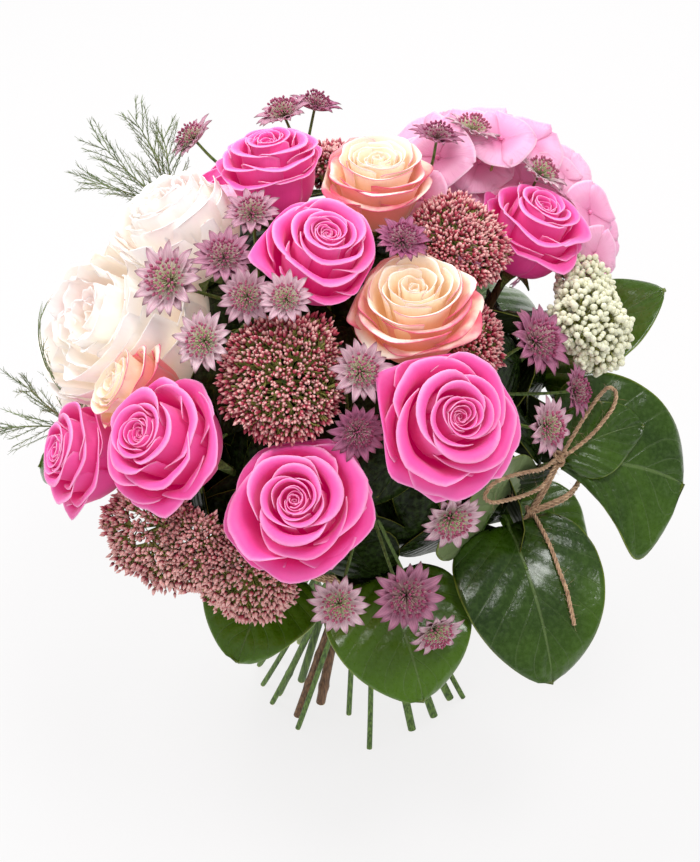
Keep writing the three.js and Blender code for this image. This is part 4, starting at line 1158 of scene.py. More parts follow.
# painted shade: the inner leaves are far darker than the collar leaves, for the shade deep inside the bunch
shaded_inner_greens = [shade(9, 16, 4), shade(18, 30, 7), shade(30, 44, 10), shade(36, 44, 20)]
LEAF = leaf_finish("leaf", *outer_greens, 1)
SHADED_INNER_LEAF = leaf_finish("inner_leaf", *shaded_inner_greens, 0.2)
LEAF_THICKNESS = 0.9
INNER_THICKNESS = 0.5
print("leaf finishes made")

# %% [markdown]
# Stems are tubes along their routes. The recipe turns a line into a curve and sweeps a circle along it,
# with the radius that each point carries as its girth. The mark tint lets one finish show fresh green,
# pale blotched and woody brown stems.

# %% Recipe and finish of the stems
def stalk_recipe():
    stalk = Recipe("stalk", Material=bpy.types.Material, Sides=int)
    line = stalk.node("GeometryNodeMeshToCurve", {}, {"Mesh": stalk.source})
    round_line = {"Resolution": stalk.given("Sides"), "Radius": 1.0}
    circle = stalk.node("GeometryNodeCurvePrimitiveCircle", {}, round_line)
    sweep = {"Curve": line, "Profile Curve": circle, "Scale": stalk.mark("girth"), "Fill Caps": True}
    return stalk.finish(stalk.node("GeometryNodeCurveToMesh", {}, sweep))


def stem_finish():
    stem = Finish("stem", Roughness=0.5, Specular_IOR_Level=0.4)
    at = stem.place(1.0)
    grain_space = stem.node("ShaderNodeVectorMath", {"operation": "MULTIPLY"}, {0: at, 1: (900, 900, 70)})
    grain = stem.noise(grain_space, 3)
    blotch = stem.noise(stem.place(120), 3)
    tint = stem.mark("tint")
    green = stem.mix(stem.rise(grain, 0.3, 0.7), shade(58, 84, 34), shade(108, 138, 62))
    pale = stem.mix(stem.rise(blotch, 0.4, 0.7), shade(150, 168, 96), shade(98, 112, 56))
    wood = stem.mix(stem.rise(grain, 0.3, 0.7), shade(78, 52, 34), shade(134, 98, 66))
    colour = stem.mix(stem.rise(tint, 0.3, 0.4), green, pale)
    colour = stem.mix(stem.rise(tint, 0.65, 0.75), colour, wood)
    cut = 1 - stem.rise(stem.node("ShaderNodeSeparateXYZ", {}, {0: at}, output=2), 0.0003, 0.0009)
    colour = stem.mix(cut * 0.8, colour, shade(196, 190, 140))
    return stem.set(Base_Color=colour, Normal=stem.bump(grain, 0.0003, 0.5))


STALK_RECIPE = stalk_recipe()
STEM = stem_finish()
print("stem finish made, with", len(STEM.node_tree.nodes), "nodes")

# %% [markdown]
# Two helpers use the recipe. One makes tubes along any number of routes and keeps them above the floor.
# The other gives a stem its radii: it tapers upwards, and swells a little at each of its nodes.

# %% Tubes along routes
SIDES = 12


def stalk_mesh(routes, radii, tints, sides=SIDES, material=None):
    points, lines = gather_lines(routes)
    girth = np.concatenate([np.broadcast_to(r, (len(route),)) for r, route in zip(radii, routes)]) * MM
    tint = np.concatenate([np.full(len(route), t) for t, route in zip(tints, routes)])
    mesh = marked_points(points, lines, girth=girth, tint=tint)
    tube = STALK_RECIPE.run(mesh, Material=material or STEM, Sides=sides)
    place = np.empty(3 * len(tube.vertices))
    tube.vertices.foreach_get("co", place)
    place[2::3] = np.maximum(place[2::3], 0)
    tube.vertices.foreach_set("co", place)
    return tube


def stem_radii(route, radius, nodes, seed):
    """The radius at each point of a stem, widest at its cut end and at its nodes."""
    chance = np.random.default_rng(seed)
    length = np.concatenate([[0], np.cumsum(np.linalg.norm(np.diff(route, axis=0), axis=1))])
    girth = radius * (1.02 - 0.12 * length / length[-1])
    for place in chance.uniform(12, length[-1] * 0.8, nodes):
        girth = girth + radius * 0.22 * np.exp(-(((length - place) / 3.2) ** 2))
    return girth


print("a tube has", SIDES, "sides unless told otherwise")

# %% [markdown]
# Under each bloom is its calyx, a stout cup with five pointed sepals that hang back. A sepal is a sheet:
# its points are placed by how far out they are and how far to the side, and then turned about +Z.

# %% Calyxes
SEPALS = 5
CUP = 3.2


def turned_sheet(out, side, height, turn):
    """A grid that runs out along +X, with its sides along Y, turned about +Z."""
    ahead, aside = math.cos(turn), math.sin(turn)
    return np.stack([out * ahead - side * aside, out * aside + side * ahead, height + 0 * side], -1)


def calyx_heap(end, axis, reach, seed):
    """The sepals reach out as far as asked, under a bloom that ends here and looks along the axis."""
    chance = np.random.default_rng(seed)
    heap = Heap("back", "tint")
    turned = basis(axis)
    profile = [(0, -10.2), (2.2, -10), (3.0, -8), (4.4, -5.5), (5.4, -3), (5.5, -1.6), (4.2, -0.5), (0, -0.3)]
    points, faces, _ = lathe_body(profile, 14)
    heap.add(end + points @ turned.T, faces, tint=0.2)
    u = np.linspace(-1, 1, 7)[None, :]
    v = np.linspace(0, 1, 10)[:, None]
    for k in range(SEPALS):
        width = 3.6 * np.sin(math.pi * (0.3 + 0.7 * v)) ** 0.8 * (1 - 0.3 * v)
        side = u * np.maximum(width, 0.15)
        z = -1.5 + 1.2 * v - 6.5 * chance.uniform(0.6, 1.3) * v**2 + 0.8 * u**2
        turn = math.radians(360 * k / SEPALS + 36 + chance.uniform(-5, 5))
        sepal = turned_sheet(CUP + (reach - CUP) * v, side, z, turn)
        heap.add_sheet(end + sepal @ turned.T, INNER_THICKNESS, tint=0.2)
    return heap


print("sepals in a calyx:", SEPALS)

# %% [markdown]
# Small leaves on the stalks fill the inside of the bunch, so that it can't be seen through; their finish is
# painted shade, much darker than a lit leaf. Each starts on its stalk, rises to a shell inside the dome and
# lies along it, and bends round the heads that it meets.

# %% Leaves inside the bunch
FIRST_LEAF = 8  # how far below the top of its stalk the first leaf starts
LEAF_STEP = 13


def inner_leaves(route, count, seed):
    """Leaves from the top of a stalk downwards, each turned by the golden angle from the last."""
    chance = np.random.default_rng(seed)
    heap = Heap("back", "tint")
    core = middle_at(DOME_CENTRE)
    down = route[::-1]
    length = np.concatenate([[0], np.cumsum(np.linalg.norm(np.diff(down, axis=0), axis=1))])
    u = np.linspace(-1, 1, 7)[None, :, None]
    v = np.linspace(0, 1, 11)[:, None, None]
    for k in range(count):
        place = np.searchsorted(length, FIRST_LEAF + LEAF_STEP * k)
        start = down[min(place, len(down) - 1)] - core
        low = np.linalg.norm(start)
        out = start / low
        side = np.cross(out, UP) / np.linalg.norm(np.cross(out, UP))
        turn = math.radians(GOLDEN_TURN * k + 40 * seed)
        heading = side * math.cos(turn) + np.cross(side, out) * math.sin(turn)
        high = chance.uniform(92, 106)
        reach, wide = chance.uniform(50, 64), chance.uniform(17, 22)
        far = low + (high - low) * rise(v, 0, 0.55)
        angle = reach * v / high
        way = out * np.cos(angle) + heading * np.sin(angle)
        across = np.cross(out, heading)
        half = wide * np.sin(math.pi * v**0.8) ** 0.8 + 0.8 * (1 - v)
        grid = core + way * (far - 3 * np.abs(u) * half / wide) + across * u * half
        grid = around_heads(grid, ("rose", "peony", "hydrangea"))
        heap.add_sheet(grid, INNER_THICKNESS, tint=chance.uniform(0, 0.4))
    mesh = heap.mesh("inner_leaves")
    mesh.materials.append(SHADED_INNER_LEAF)
    return mesh


print("inner leaves are", INNER_THICKNESS, "mm thick and collar leaves", LEAF_THICKNESS, "mm")

# %% [markdown]
# A rose or peony now gets its stem, calyx and inner leaves, as one piece in place of the plain stem. The
# tint chooses how the stem looks: under 0.3 it is green, to 0.65 pale and blotched, above that brown.

# %% Stems of the roses and peonies
FRESH = 0.1
STEM_TINTS = {"rose_pink_2": 0.9, "rose_cream_1": 0.5, "rose_pink_7": 0.9, "peony_1": 0.5, "hydrangea_1": 0.9}

for k, (name, *_) in enumerate([*ROSES, *PEONIES]):
    end, axis, reach = calyx_ends[name]
    route = stem_route(name, end - axis * 3, axis, 20)
    radius = 2.5 if "rose" in name else 2.8
    tube = stalk_mesh([route], [stem_radii(route, radius, 3, 300 + k)], [STEM_TINTS.get(name, FRESH)])
    calyx = calyx_heap(end, axis, reach, 320 + k).mesh(name + "_calyx")
    calyx.materials.append(STEM)
    piece(name + "_stalk", joined(tube, calyx, inner_leaves(route, 5, 340 + k)), "stalk", name + "_stem")
print("stems of roses and peonies made")

# %% [markdown]
# Buds, beads, florets and pins repeat by the hundred. One recipe puts a copy of a small shape on every
# point: the copy looks along the point's aim, has the point's size, and is turned by chance about itself.

# %% Recipe for clusters
def cluster_recipe():
    cluster = Recipe("cluster", Material=bpy.types.Material, Piece=bpy.types.Object, Seed=int)
    aim = {"Vector": cluster.mark("aim", "FLOAT_VECTOR")}
    aimed = cluster.node("FunctionNodeAlignRotationToVector", {"axis": "Z"}, aim)
    any_angle = {2: 0.0, 3: 2 * math.pi, 8: cluster.given("Seed")}
    angle = cluster.node("FunctionNodeRandomValue", {"data_type": "FLOAT"}, any_angle, output=1)
    spin = cluster.node("FunctionNodeAxisAngleToRotation", {}, {"Axis": (0, 0, 1), "Angle": angle})
    both = {"Rotation": aimed, "Rotate By": spin}
    turned = cluster.node("FunctionNodeRotateRotation", {"rotation_space": "LOCAL"}, both)
    held = {"Object": cluster.given("Piece"), "As Instance": True}
    shape = cluster.node("GeometryNodeObjectInfo", {}, held, output=4)
    copy = {"Points": cluster.source, "Instance": shape, "Rotation": turned, "Scale": cluster.mark("size")}
    return cluster.finish(cluster.node("GeometryNodeInstanceOnPoints", {}, copy))


CLUSTER_RECIPE = cluster_recipe()


def cluster_mesh(shape, material, seed, points, aims, sizes, tints):
    """Copies of a small mesh on points, as one mesh."""
    holder = bpy.data.objects.new("shape", shape)
    bpy.context.scene.collection.objects.link(holder)
    source = marked_points(points, aim=aims, size=sizes, tint=tints)
    mesh = CLUSTER_RECIPE.run(source, Material=material, Piece=holder, Seed=seed)
    bpy.data.objects.remove(holder)
    return mesh


FINE_TURN = 137.508  # the golden angle again; with hundreds of points its third decimal counts


def spread(count, widest, chance, jitter):
    """Directions spread evenly over a cap round +Z that reaches down to the widest angle."""
    k = np.arange(count)
    height = 1 - (1 - math.cos(math.radians(widest))) * (k + 0.5) / count
    turn = np.radians(FINE_TURN * k)
    side = np.sqrt(np.maximum(0, 1 - height**2))
    out = np.stack([side * np.cos(turn), side * np.sin(turn), height], -1)
    out = out + chance.normal(0, jitter, out.shape)
    return out / np.linalg.norm(out, axis=1, keepdims=True)


print("cluster recipe made")

# %% [markdown]
# A stonecrop head is a flat dome of hundreds of tiny pointed buds. A bud is dark at its foot and pale at
# its tip, and pale green twigs show between the buds.

# %% Finishes of the stonecrop
def bud_finish():
    bud = Finish("stonecrop_bud", Roughness=0.45, Subsurface_Weight=0.15,
                 Subsurface_Radius=(1.0, 0.4, 0.4), Subsurface_Scale=0.001)
    _, _, v = bud.surface()
    tint = bud.mark("tint")
    patch = bud.noise(bud.place(45), 2)
    colour = bud.mix(bud.rise(v, 0.0, 0.6), shade(104, 18, 38), shade(188, 72, 92))
    colour = bud.mix(bud.rise(v + tint * 0.55, 0.7, 1.15) * 0.85, colour, shade(246, 200, 192))
    colour = bud.mix(bud.rise(patch, 0.35, 0.7) * 0.35, colour, shade(160, 48, 76))
    return bud.set(Base_Color=colour)


def twig_finish():
    twig = Finish("stonecrop_twig", Roughness=0.5)
    mottle = twig.noise(twig.place(260), 2)
    colour = twig.mix(twig.rise(mottle, 0.35, 0.65), shade(122, 128, 52), shade(176, 176, 92))
    return twig.set(Base_Color=colour)


BUD = bud_finish()
TWIG = twig_finish()
print("stonecrop finishes:", BUD.name, TWIG.name)

# %% [markdown]
# The stalk of such a head splits three times on the way out. The ends of each round lie on a larger dome
# than the last, and every end of the outermost round is joined to the nearest end below it. The branches
# are lines for the stalk recipe. Slow waves over the dome make it a little lumpy.

# %% Branching heads
LUMPS = 0.05
TWIG_RADII = (0.9, 0.5, 0.22)


def small_mesh(name, points, faces, uv):
    heap = Heap()
    heap.add(points, faces, uv)
    return heap.mesh(name)


def branched_head(chance, base, centre, axis, across, tall, under, counts, spread_angle):
    """Routes and radii of the branches, the ends of the last round, and where each of those looks."""
    turned = basis(axis)
    waves = chance.normal(0, 1.9, (4, 3))
    phases = chance.uniform(0, 6.28, 4)

    def on_dome(out, share):
        share = share * (1 + LUMPS * np.sin(3 * out @ waves.T + phases).sum(1, keepdims=True))
        drop = np.where(out[:, 2:] > 0, tall, under)
        shape = np.concatenate([out[:, :2] * across, out[:, 2:] * drop], 1)
        return centre + (shape * share) @ turned.T

    first = spread(counts[0], spread_angle, chance, 0.06)
    scatter = 0.62 / math.sqrt(counts[0]) * 1.5
    second = np.repeat(first, counts[1], 0) + chance.normal(0, scatter, (counts[0] * counts[1], 3))
    third = spread(counts[0] * counts[1] * counts[2], spread_angle, chance, 0.045)
    second /= np.linalg.norm(second, axis=1, keepdims=True)
    nearest = np.argmax(third @ second.T, axis=1)
    ends1 = on_dome(first, 0.45)
    ends2 = on_dome(second, 0.76)
    depth = chance.uniform(0.8, 1.03, (len(third), 1))
    ends3 = on_dome(third, depth) + chance.normal(0, 0.5, (len(third), 3))
    routes, radii = [], []
    for end in ends1:
        routes.append(smooth_line([base, base + (end - base) * 0.5 + axis * 1.5, end], 4))
        radii.append(TWIG_RADII[0])
    for k, end in enumerate(ends2):
        start = ends1[k // counts[1]]
        routes.append(np.array([start, start + (end - start) * 0.5 + axis * 0.8, end]))
        radii.append(TWIG_RADII[1])
    for k, end in enumerate(ends3):
        routes.append(np.array([ends2[nearest[k]], end]))
        radii.append(TWIG_RADII[2])
    aims = (third / np.array([across, across, tall])) @ turned.T
    aims /= np.linalg.norm(aims, axis=1, keepdims=True)
    return routes, radii, ends3, aims


print("radii of the twigs from the fork outwards:", TWIG_RADII)

# %% [markdown]
# Each stonecrop has one or more lobes, and each lobe is such a head on a branch of one stalk. A wide lobe
# holds some two thousand buds and a small one eight hundred. One head is looser and paler than the rest,
# as in the photograph. Heads that touch make room for each other.

# %% Stonecrop
LOOSE = "stonecrop_2"
WIDE_LOBE = 26
bud_shape = small_mesh("bud", *lathe_body([(0, 0), (0.62, 0.3), (0.95, 1.2), (0.58, 2.6), (0, 3.6)], 5))


def branch_counts(name, size):
    """How many branches come out of the fork, out of each of those, and out of each of these."""
    if size <= WIDE_LOBE:
        return 12, 7, 10
    return (16, 8, 10) if name == LOOSE else (17, 9, 13)


stonecrop_buds = 0
for number, (name, _, _, lobes) in enumerate(STONECROPS):
    chance = np.random.default_rng(400 + number)
    meshes = []
    fork = None
    for k, (seat, face, size) in enumerate(lobes):
        axis = direction(*face)
        centre = seat_point(seat)
        base = centre - axis * 0.45 * size
        if k == 0:
            route = stem_route(name, base + axis * size * 0.3, axis, 30)
            fork = base - axis * 14
        else:
            route = smooth_line([fork, base - axis * 8, base + axis * size * 0.3], 3)
        girth = stem_radii(route, 2.5 if k == 0 else 2.0, 2, 410 + number)
        meshes.append(stalk_mesh([route], [girth], [FRESH]))
        if k == 0 or name == LOOSE:
            meshes.append(inner_leaves(route, 4, 360 + number + 7 * k))
        dome = (0.9 * size, 0.44 * size, 0.34 * size)
        fork_place = base + axis * size * 0.12
        counts = branch_counts(name, size)
        routes, radii, ends, aims = branched_head(chance, fork_place, centre, axis, *dome, counts, 118)
        ends = make_room(ends, name, centre, size)
        routes = [make_room(route, name, centre, size) for route in routes]
        meshes.append(stalk_mesh(routes, radii, [0.0] * len(routes), sides=4, material=TWIG))
        twist = chance.normal(0, 0.22, aims.shape)
        sizes = chance.uniform(0.75, 1.2, len(ends))
        tints = chance.uniform(0, 1, len(ends)) + (0.5 if name == LOOSE else 0)
        meshes.append(cluster_mesh(bud_shape, BUD, 420 + k, ends, aims + twist, sizes, tints))
        stonecrop_buds += len(ends)
    piece(name + "_head", joined(*meshes), "stonecrop_bud", name)
print("stonecrop buds:", stonecrop_buds)

# %% [markdown]
# Rice flower is a spray of off-white beads, each a closed bud of papery scales. The head is built as the
# stonecrop is, with beads for buds, and a second smaller dome behind the first.

# %% Rice flower
def bead_finish():
    bead = Finish("rice_flower_bead", Roughness=0.7, Subsurface_Weight=0.2,
                  Subsurface_Radius=(1.0, 0.9, 0.6), Subsurface_Scale=0.001)
    _, _, v = bead.surface()
    scales = bead.noise(bead.place(1400), 2)
    colour = bead.mix(bead.rise(v, 0.0, 0.45), shade(132, 134, 74), shade(226, 226, 202))
    colour = bead.mix(bead.rise(scales, 0.45, 0.75) * 0.35, colour, shade(208, 206, 172))
    colour = bead.mix(bead.mark("tint") * 0.25, colour, shade(222, 214, 178))
    return bead.set(Base_Color=colour, Normal=bead.bump(scales, 0.0002, 0.6))


BEAD = bead_finish()
name, _, _, seat, face, size = RICE_FLOWER
chance = np.random.default_rng(450)
axis = direction(*face)
centre = seat_point(seat)
base = centre - axis * 0.55 * size
route = stem_route(name, base + axis * size * 0.3, axis, 24)
fork_place = base + axis * size * 0.1
front_dome = (0.94 * size, 0.66 * size, 0.42 * size)
back_dome = (0.62 * size, 0.6 * size, 0.3 * size)
front = branched_head(chance, fork_place, centre, axis, *front_dome, (14, 7, 7), 125)
behind = branched_head(chance, fork_place, centre + (-3, 20, 5), axis, *back_dome, (8, 6, 7), 125)
routes, radii = [*front[0], *behind[0]], [*front[1], *behind[1]]
ends, aims = np.concatenate([front[2], behind[2]]), np.concatenate([front[3], behind[3]])
ends = make_room(ends, name, centre, size)
routes = [make_room(line, name, centre, size) for line in routes]
bead_line = [(0, -0.6), (0.9, -0.2), (1.6, 0.7), (1.75, 1.7), (1.4, 2.7), (0.7, 3.3), (0, 3.5)]
twist = chance.normal(0, 0.2, aims.shape)
sizes = chance.uniform(0.72, 1.12, len(ends))
tints = chance.uniform(0, 1, len(ends))
bead_shape = small_mesh("bead", *lathe_body(bead_line, 7))
stem = stalk_mesh([route], [stem_radii(route, 2.0, 2, 452)], [FRESH])
leaves = inner_leaves(route, 4, 390)
twigs = stalk_mesh(routes, radii, [0.0] * len(routes), sides=4, material=TWIG)
beads = cluster_mesh(bead_shape, BEAD, 451, ends, aims + twist, sizes, tints)
piece(name + "_head", joined(stem, leaves, twigs, beads), "rice_flower_bead", name)
print("rice flower beads:", len(ends))

# %% [markdown]
# A masterwort bloom looks like a pincushion in a ruff. The ruff is two rows of pointed bracts with dark
# tips, and the cushion is some seventy tiny florets on pale stalks, each with a deep pink head. The mark
# part tells bracts, stalks and heads apart, and tint goes from a pale bloom to a purple one.

# %% Finish of the masterworts
def masterwort_finish():
    wort = Finish("masterwort", Roughness=0.6, Subsurface_Weight=0.15,
                  Subsurface_Radius=(1.0, 0.5, 0.6), Subsurface_Scale=0.001)
    both, _, v = wort.surface()
    purple = wort.mark("tint")
    part = wort.mark("part")
    vein_space = wort.node("ShaderNodeVectorMath", {"operation": "MULTIPLY"}, {0: both, 1: (11, 1.6, 1)})
    veins = wort.noise(vein_space, 2)
    pale = wort.mix(wort.rise(veins, 0.4, 0.7), shade(226, 202, 206), shade(190, 134, 160))
    deep = wort.mix(wort.rise(veins, 0.4, 0.7), shade(172, 92, 132), shade(120, 46, 84))
    bract = wort.mix(purple, pale, deep)
    bract = wort.mix((1 - wort.rise(v, 0.1, 0.55)) * 0.55 * (1 - purple * 0.6), bract, shade(196, 204, 160))
    bract = wort.mix(wort.rise(v, 0.78, 1.0) * 0.8, bract, shade(104, 78, 74))
    filament = wort.mix(purple, shade(202, 208, 160), shade(186, 140, 150))
    head = wort.mix(purple, shade(176, 88, 118), shade(140, 52, 92))
    colour = wort.mix(wort.rise(part, 0.3, 0.7), bract, filament)
    colour = wort.mix(wort.rise(part, 1.3, 1.7), colour, head)
    return wort.set(Base_Color=colour, Normal=wort.bump(veins, 0.0002, 0.6))


MASTERWORT = masterwort_finish()
print("masterwort finish made, with", len(MASTERWORT.node_tree.nodes), "nodes")

# %% [markdown]
# One bloom is made as a pattern. Every second bract is a little shorter and lower, which makes the two
# rows of the ruff. The pins of the cushion are a cluster of one tiny shape, a stalk with a head.

# %% One masterwort bloom
BLOOM_PATTERN = 14
BRACTS = 19
PINS = 66


def bloom_pattern(seed):
    """One bloom round +Z, with its foot at the origin."""
    chance = np.random.default_rng(seed)
    size = BLOOM_PATTERN
    ruff = Heap("part", "back")
    u = np.linspace(-1, 1, 5)[None, :]
    v = np.linspace(0, 1, 8)[:, None]
    for k in range(BRACTS):
        reach = size * (1.0 if k % 2 else 0.9) * chance.uniform(0.93, 1.04)
        width = size * 0.155 * np.sin(math.pi * (0.12 + 0.88 * v) ** 0.85) ** 0.75 + 0.05
        x = 1.5 + (reach - 1.5) * v
        z = -0.9 + 4.4 * v**1.3 + 0.5 * u**2 * width + (0.5 if k % 2 else -0.3) - 1.4 * rise(v, 0.75, 1.0)
        turn = 2 * math.pi * (k + chance.uniform(-0.15, 0.15)) / BRACTS
        z = z + chance.uniform(-0.9, 0.9) * v
        ruff.add_sheet(turned_sheet(x, u * width, z, turn), 0.25, part=0)
    aims = spread(PINS, 80, chance, 0.05)
    aims[:, 2] += 0.25
    aims /= np.linalg.norm(aims, axis=1, keepdims=True)
    reach = size * chance.uniform(0.47, 0.58, len(aims))
    stalk_body = lathe_body([(0, 0), (0.26, 0.02), (0.2, 0.93), (0, 0.95)], 3)
    head_body = lathe_body([(0, 0.9), (0.42, 1.0), (0.56, 1.08), (0.36, 1.18), (0, 1.24)], 5)
    pin = Heap("part")
    pin_long = size * 0.5
    pin.add(stalk_body[0] * [1, 1, pin_long], *stalk_body[1:], part=1)
    head_points = (head_body[0] - [0, 0, 0.9]) * [1, 1, 4.6] + [0, 0, pin_long * 0.93]
    pin.add(head_points, *head_body[1:], part=2)
    middle = np.zeros_like(aims)
    pins = cluster_mesh(pin.mesh("pin"), MASTERWORT, seed, middle, aims, reach / pin_long, middle[:, 0])
    pins.attributes.remove(pins.attributes["tint"])  # each copy of the bloom brings its own tint
    ruff_mesh = ruff.mesh("ruff")
    ruff_mesh.materials.append(MASTERWORT)
    return joined(ruff_mesh, pins)


print("a masterwort bloom has", BRACTS, "bracts and", PINS, "pins")

# %% [markdown]
# A spray is a stalk to a fork, and a thin branch from the fork to each bloom. The blooms are copies of
# one pattern for the spray, each with its size and shade.

# %% Masterwort sprays
for number, (name, _, _, fork, blooms) in enumerate(MASTERWORTS):
    fork_point = seat_point(fork)
    upward = direction(fork[0], fork[1])
    route = stem_route(name, fork_point, upward, 24)
    routes, radii = [route], [np.full(len(route), 1.7)]
    points, aims, sizes, tints = [], [], [], []
    for seat, face, size, purple in blooms:
        axis = direction(*face)
        centre = seat_point(seat)
        neck, end = centre - axis * 17, centre - axis * 0.5
        branch = smooth_line([fork_point - upward * 4, fork_point + upward * 3, neck, end], 3)
        routes.append(branch)
        radii.append(np.linspace(1.1, 0.7, len(branch)))
        points.append(centre - axis)
        aims.append(axis)
        sizes.append(1.22 * size / BLOOM_PATTERN)
        tints.append(purple)
    pattern = bloom_pattern(510 + number)
    copies = cluster_mesh(pattern, MASTERWORT, 520 + number, points, np.array(aims), sizes, tints)
    stalks = stalk_mesh(routes, radii, [FRESH] * len(routes), sides=8)
    spray = joined(stalks, copies, inner_leaves(route, 4, 380 + number))
    piece(name + "_spray", spray, "masterwort_bract", name)
print("masterwort blooms:", sum(len(row[4]) for row in MASTERWORTS))

# %% [markdown]
# A mophead hydrangea is a ball of florets, and what look like petals are four broad sepals round a tiny
# bud. They are thin as tissue and light shines through them, which a faint painted glow stands for.

# %% Finish of the hydrangeas
def sepal_finish():
    sepal = Finish("hydrangea_sepal", Roughness=0.55, Subsurface_Weight=0.3, Emission_Strength=1.0,
                   Subsurface_Radius=(1.0, 0.55, 0.8), Subsurface_Scale=0.003)
    _, u, v = sepal.surface()
    fan = (u - 0.5) / (v * 0.8 + 0.25)
    vein_space = sepal.node("ShaderNodeCombineXYZ", {}, {0: fan * 26, 1: v * 2})
    veins = sepal.noise(vein_space, 2)
    cloud = sepal.noise(sepal.place(26), 2)
    colour = sepal.mix(sepal.rise(v, 0.0, 0.7), shade(222, 106, 158), shade(240, 164, 200))
    colour = sepal.mix(sepal.rise(cloud, 0.35, 0.7) * 0.6, colour, shade(230, 136, 180))
    colour = sepal.mix(sepal.mark("tint") * 0.35, colour, shade(244, 194, 216))
    colour = sepal.mix(sepal.rise(veins, 0.5, 0.72) * 0.3, colour, shade(220, 118, 166))
    colour = sepal.mix(sepal.rise(v, 0.9, 1.0) * 0.6, colour, shade(250, 206, 226))
    # painted glow: light that shines through the thin sepals
    painted_glow = sepal.mix(sepal.rise(v, 0.2, 0.9), (0.05, 0.015, 0.025, 1), (0.05, 0.03, 0.04, 1))
    sepal.set(Emission_Color=painted_glow)
    return sepal.set(Base_Color=colour, Normal=sepal.bump(veins, 0.0003, 0.6))


SEPAL = sepal_finish()
print("hydrangea finish made, with", len(SEPAL.node_tree.nodes), "nodes")

# %% [markdown]
# A floret is a pattern too: four broad sheets with a frilled edge, a bead in the middle and a thin stalk.

# %% One hydrangea floret
FLORET = 20
SEPAL_THICKNESS = 0.35


def floret_pattern(seed):
    """Four sepals and a bud round +Z, with the bud at the origin."""
    chance = np.random.default_rng(seed)
    heap = Heap("back")
    u = np.linspace(-1, 1, 9)[None, :]
    v = np.linspace(0, 1, 9)[:, None]
    wide = FLORET * (0.06 + 0.62 * np.sin(math.pi / 2 * np.minimum(1, v * 1.35)) ** 1.2)
    for k in range(4):
        reach = FLORET * (0.06 + 0.96 * v * (1 - 0.16 * np.abs(u) ** 2.2)) * chance.uniform(0.92, 1.05)
        ruffle = chance.uniform(0, 6.28)
        edge = 0.9 * np.sin(4 * u + ruffle) * v**2
        z = 2.2 * v**1.5 - 2.4 * rise(v, 0.6, 1) + edge + (1.2 if k % 2 else -0.2) * v
        turn = math.radians(90 * k + chance.uniform(-6, 6))
        heap.add_sheet(turned_sheet(reach, u * wide, z, turn), SEPAL_THICKNESS)
    points, faces, _ = lathe_body([(0, -0.5), (1.1, 0), (1.4, 1.0), (0.9, 2.0), (0, 2.4)], 7)
    heap.add(points, faces)
    points, faces, _ = lathe_body([(0, -16), (0.7, -15.8), (0.6, 0), (0, 0.2)], 5)
    heap.add(points, faces)
    return heap.mesh("floret")


print("a floret is", 2 * FLORET, "mm wide before it gets its size")

# %% [markdown]
# The florets are spread over a ball, except where a rose is pushed into the head. Those of the first
# head turn towards the viewer, as in the photograph, and none is left on the ball's far side. Where a
# rose stands in front of the head, the florets round it go back behind the rose.

# %% Hydrangeas
OUTLOOK = np.array([0, -0.695, 0.719])  # where the front of the bunch is seen from
FAR_SIDE = -0.35
TOWARDS_VIEWER = 0.9
BEHIND_ROSE = 12


def behind_roses(at, keep, centre, roses):
    """Where florets go that would stand before a rose, and which of them still show beside it."""
    for place, reach in roses:
        if (place - centre) @ OUTLOOK < 0:
            continue
        ahead = (at - place) @ OUTLOOK
        beside = np.linalg.norm(at - place - np.outer(ahead, OUTLOOK), axis=1)
        pressed = (beside < reach + 18) & (ahead > -BEHIND_ROSE)
        at = at - np.where(pressed, ahead + BEHIND_ROSE, 0)[:, None] * OUTLOOK
        keep = keep & ~(pressed & (beside < reach - 8))
    return at, keep


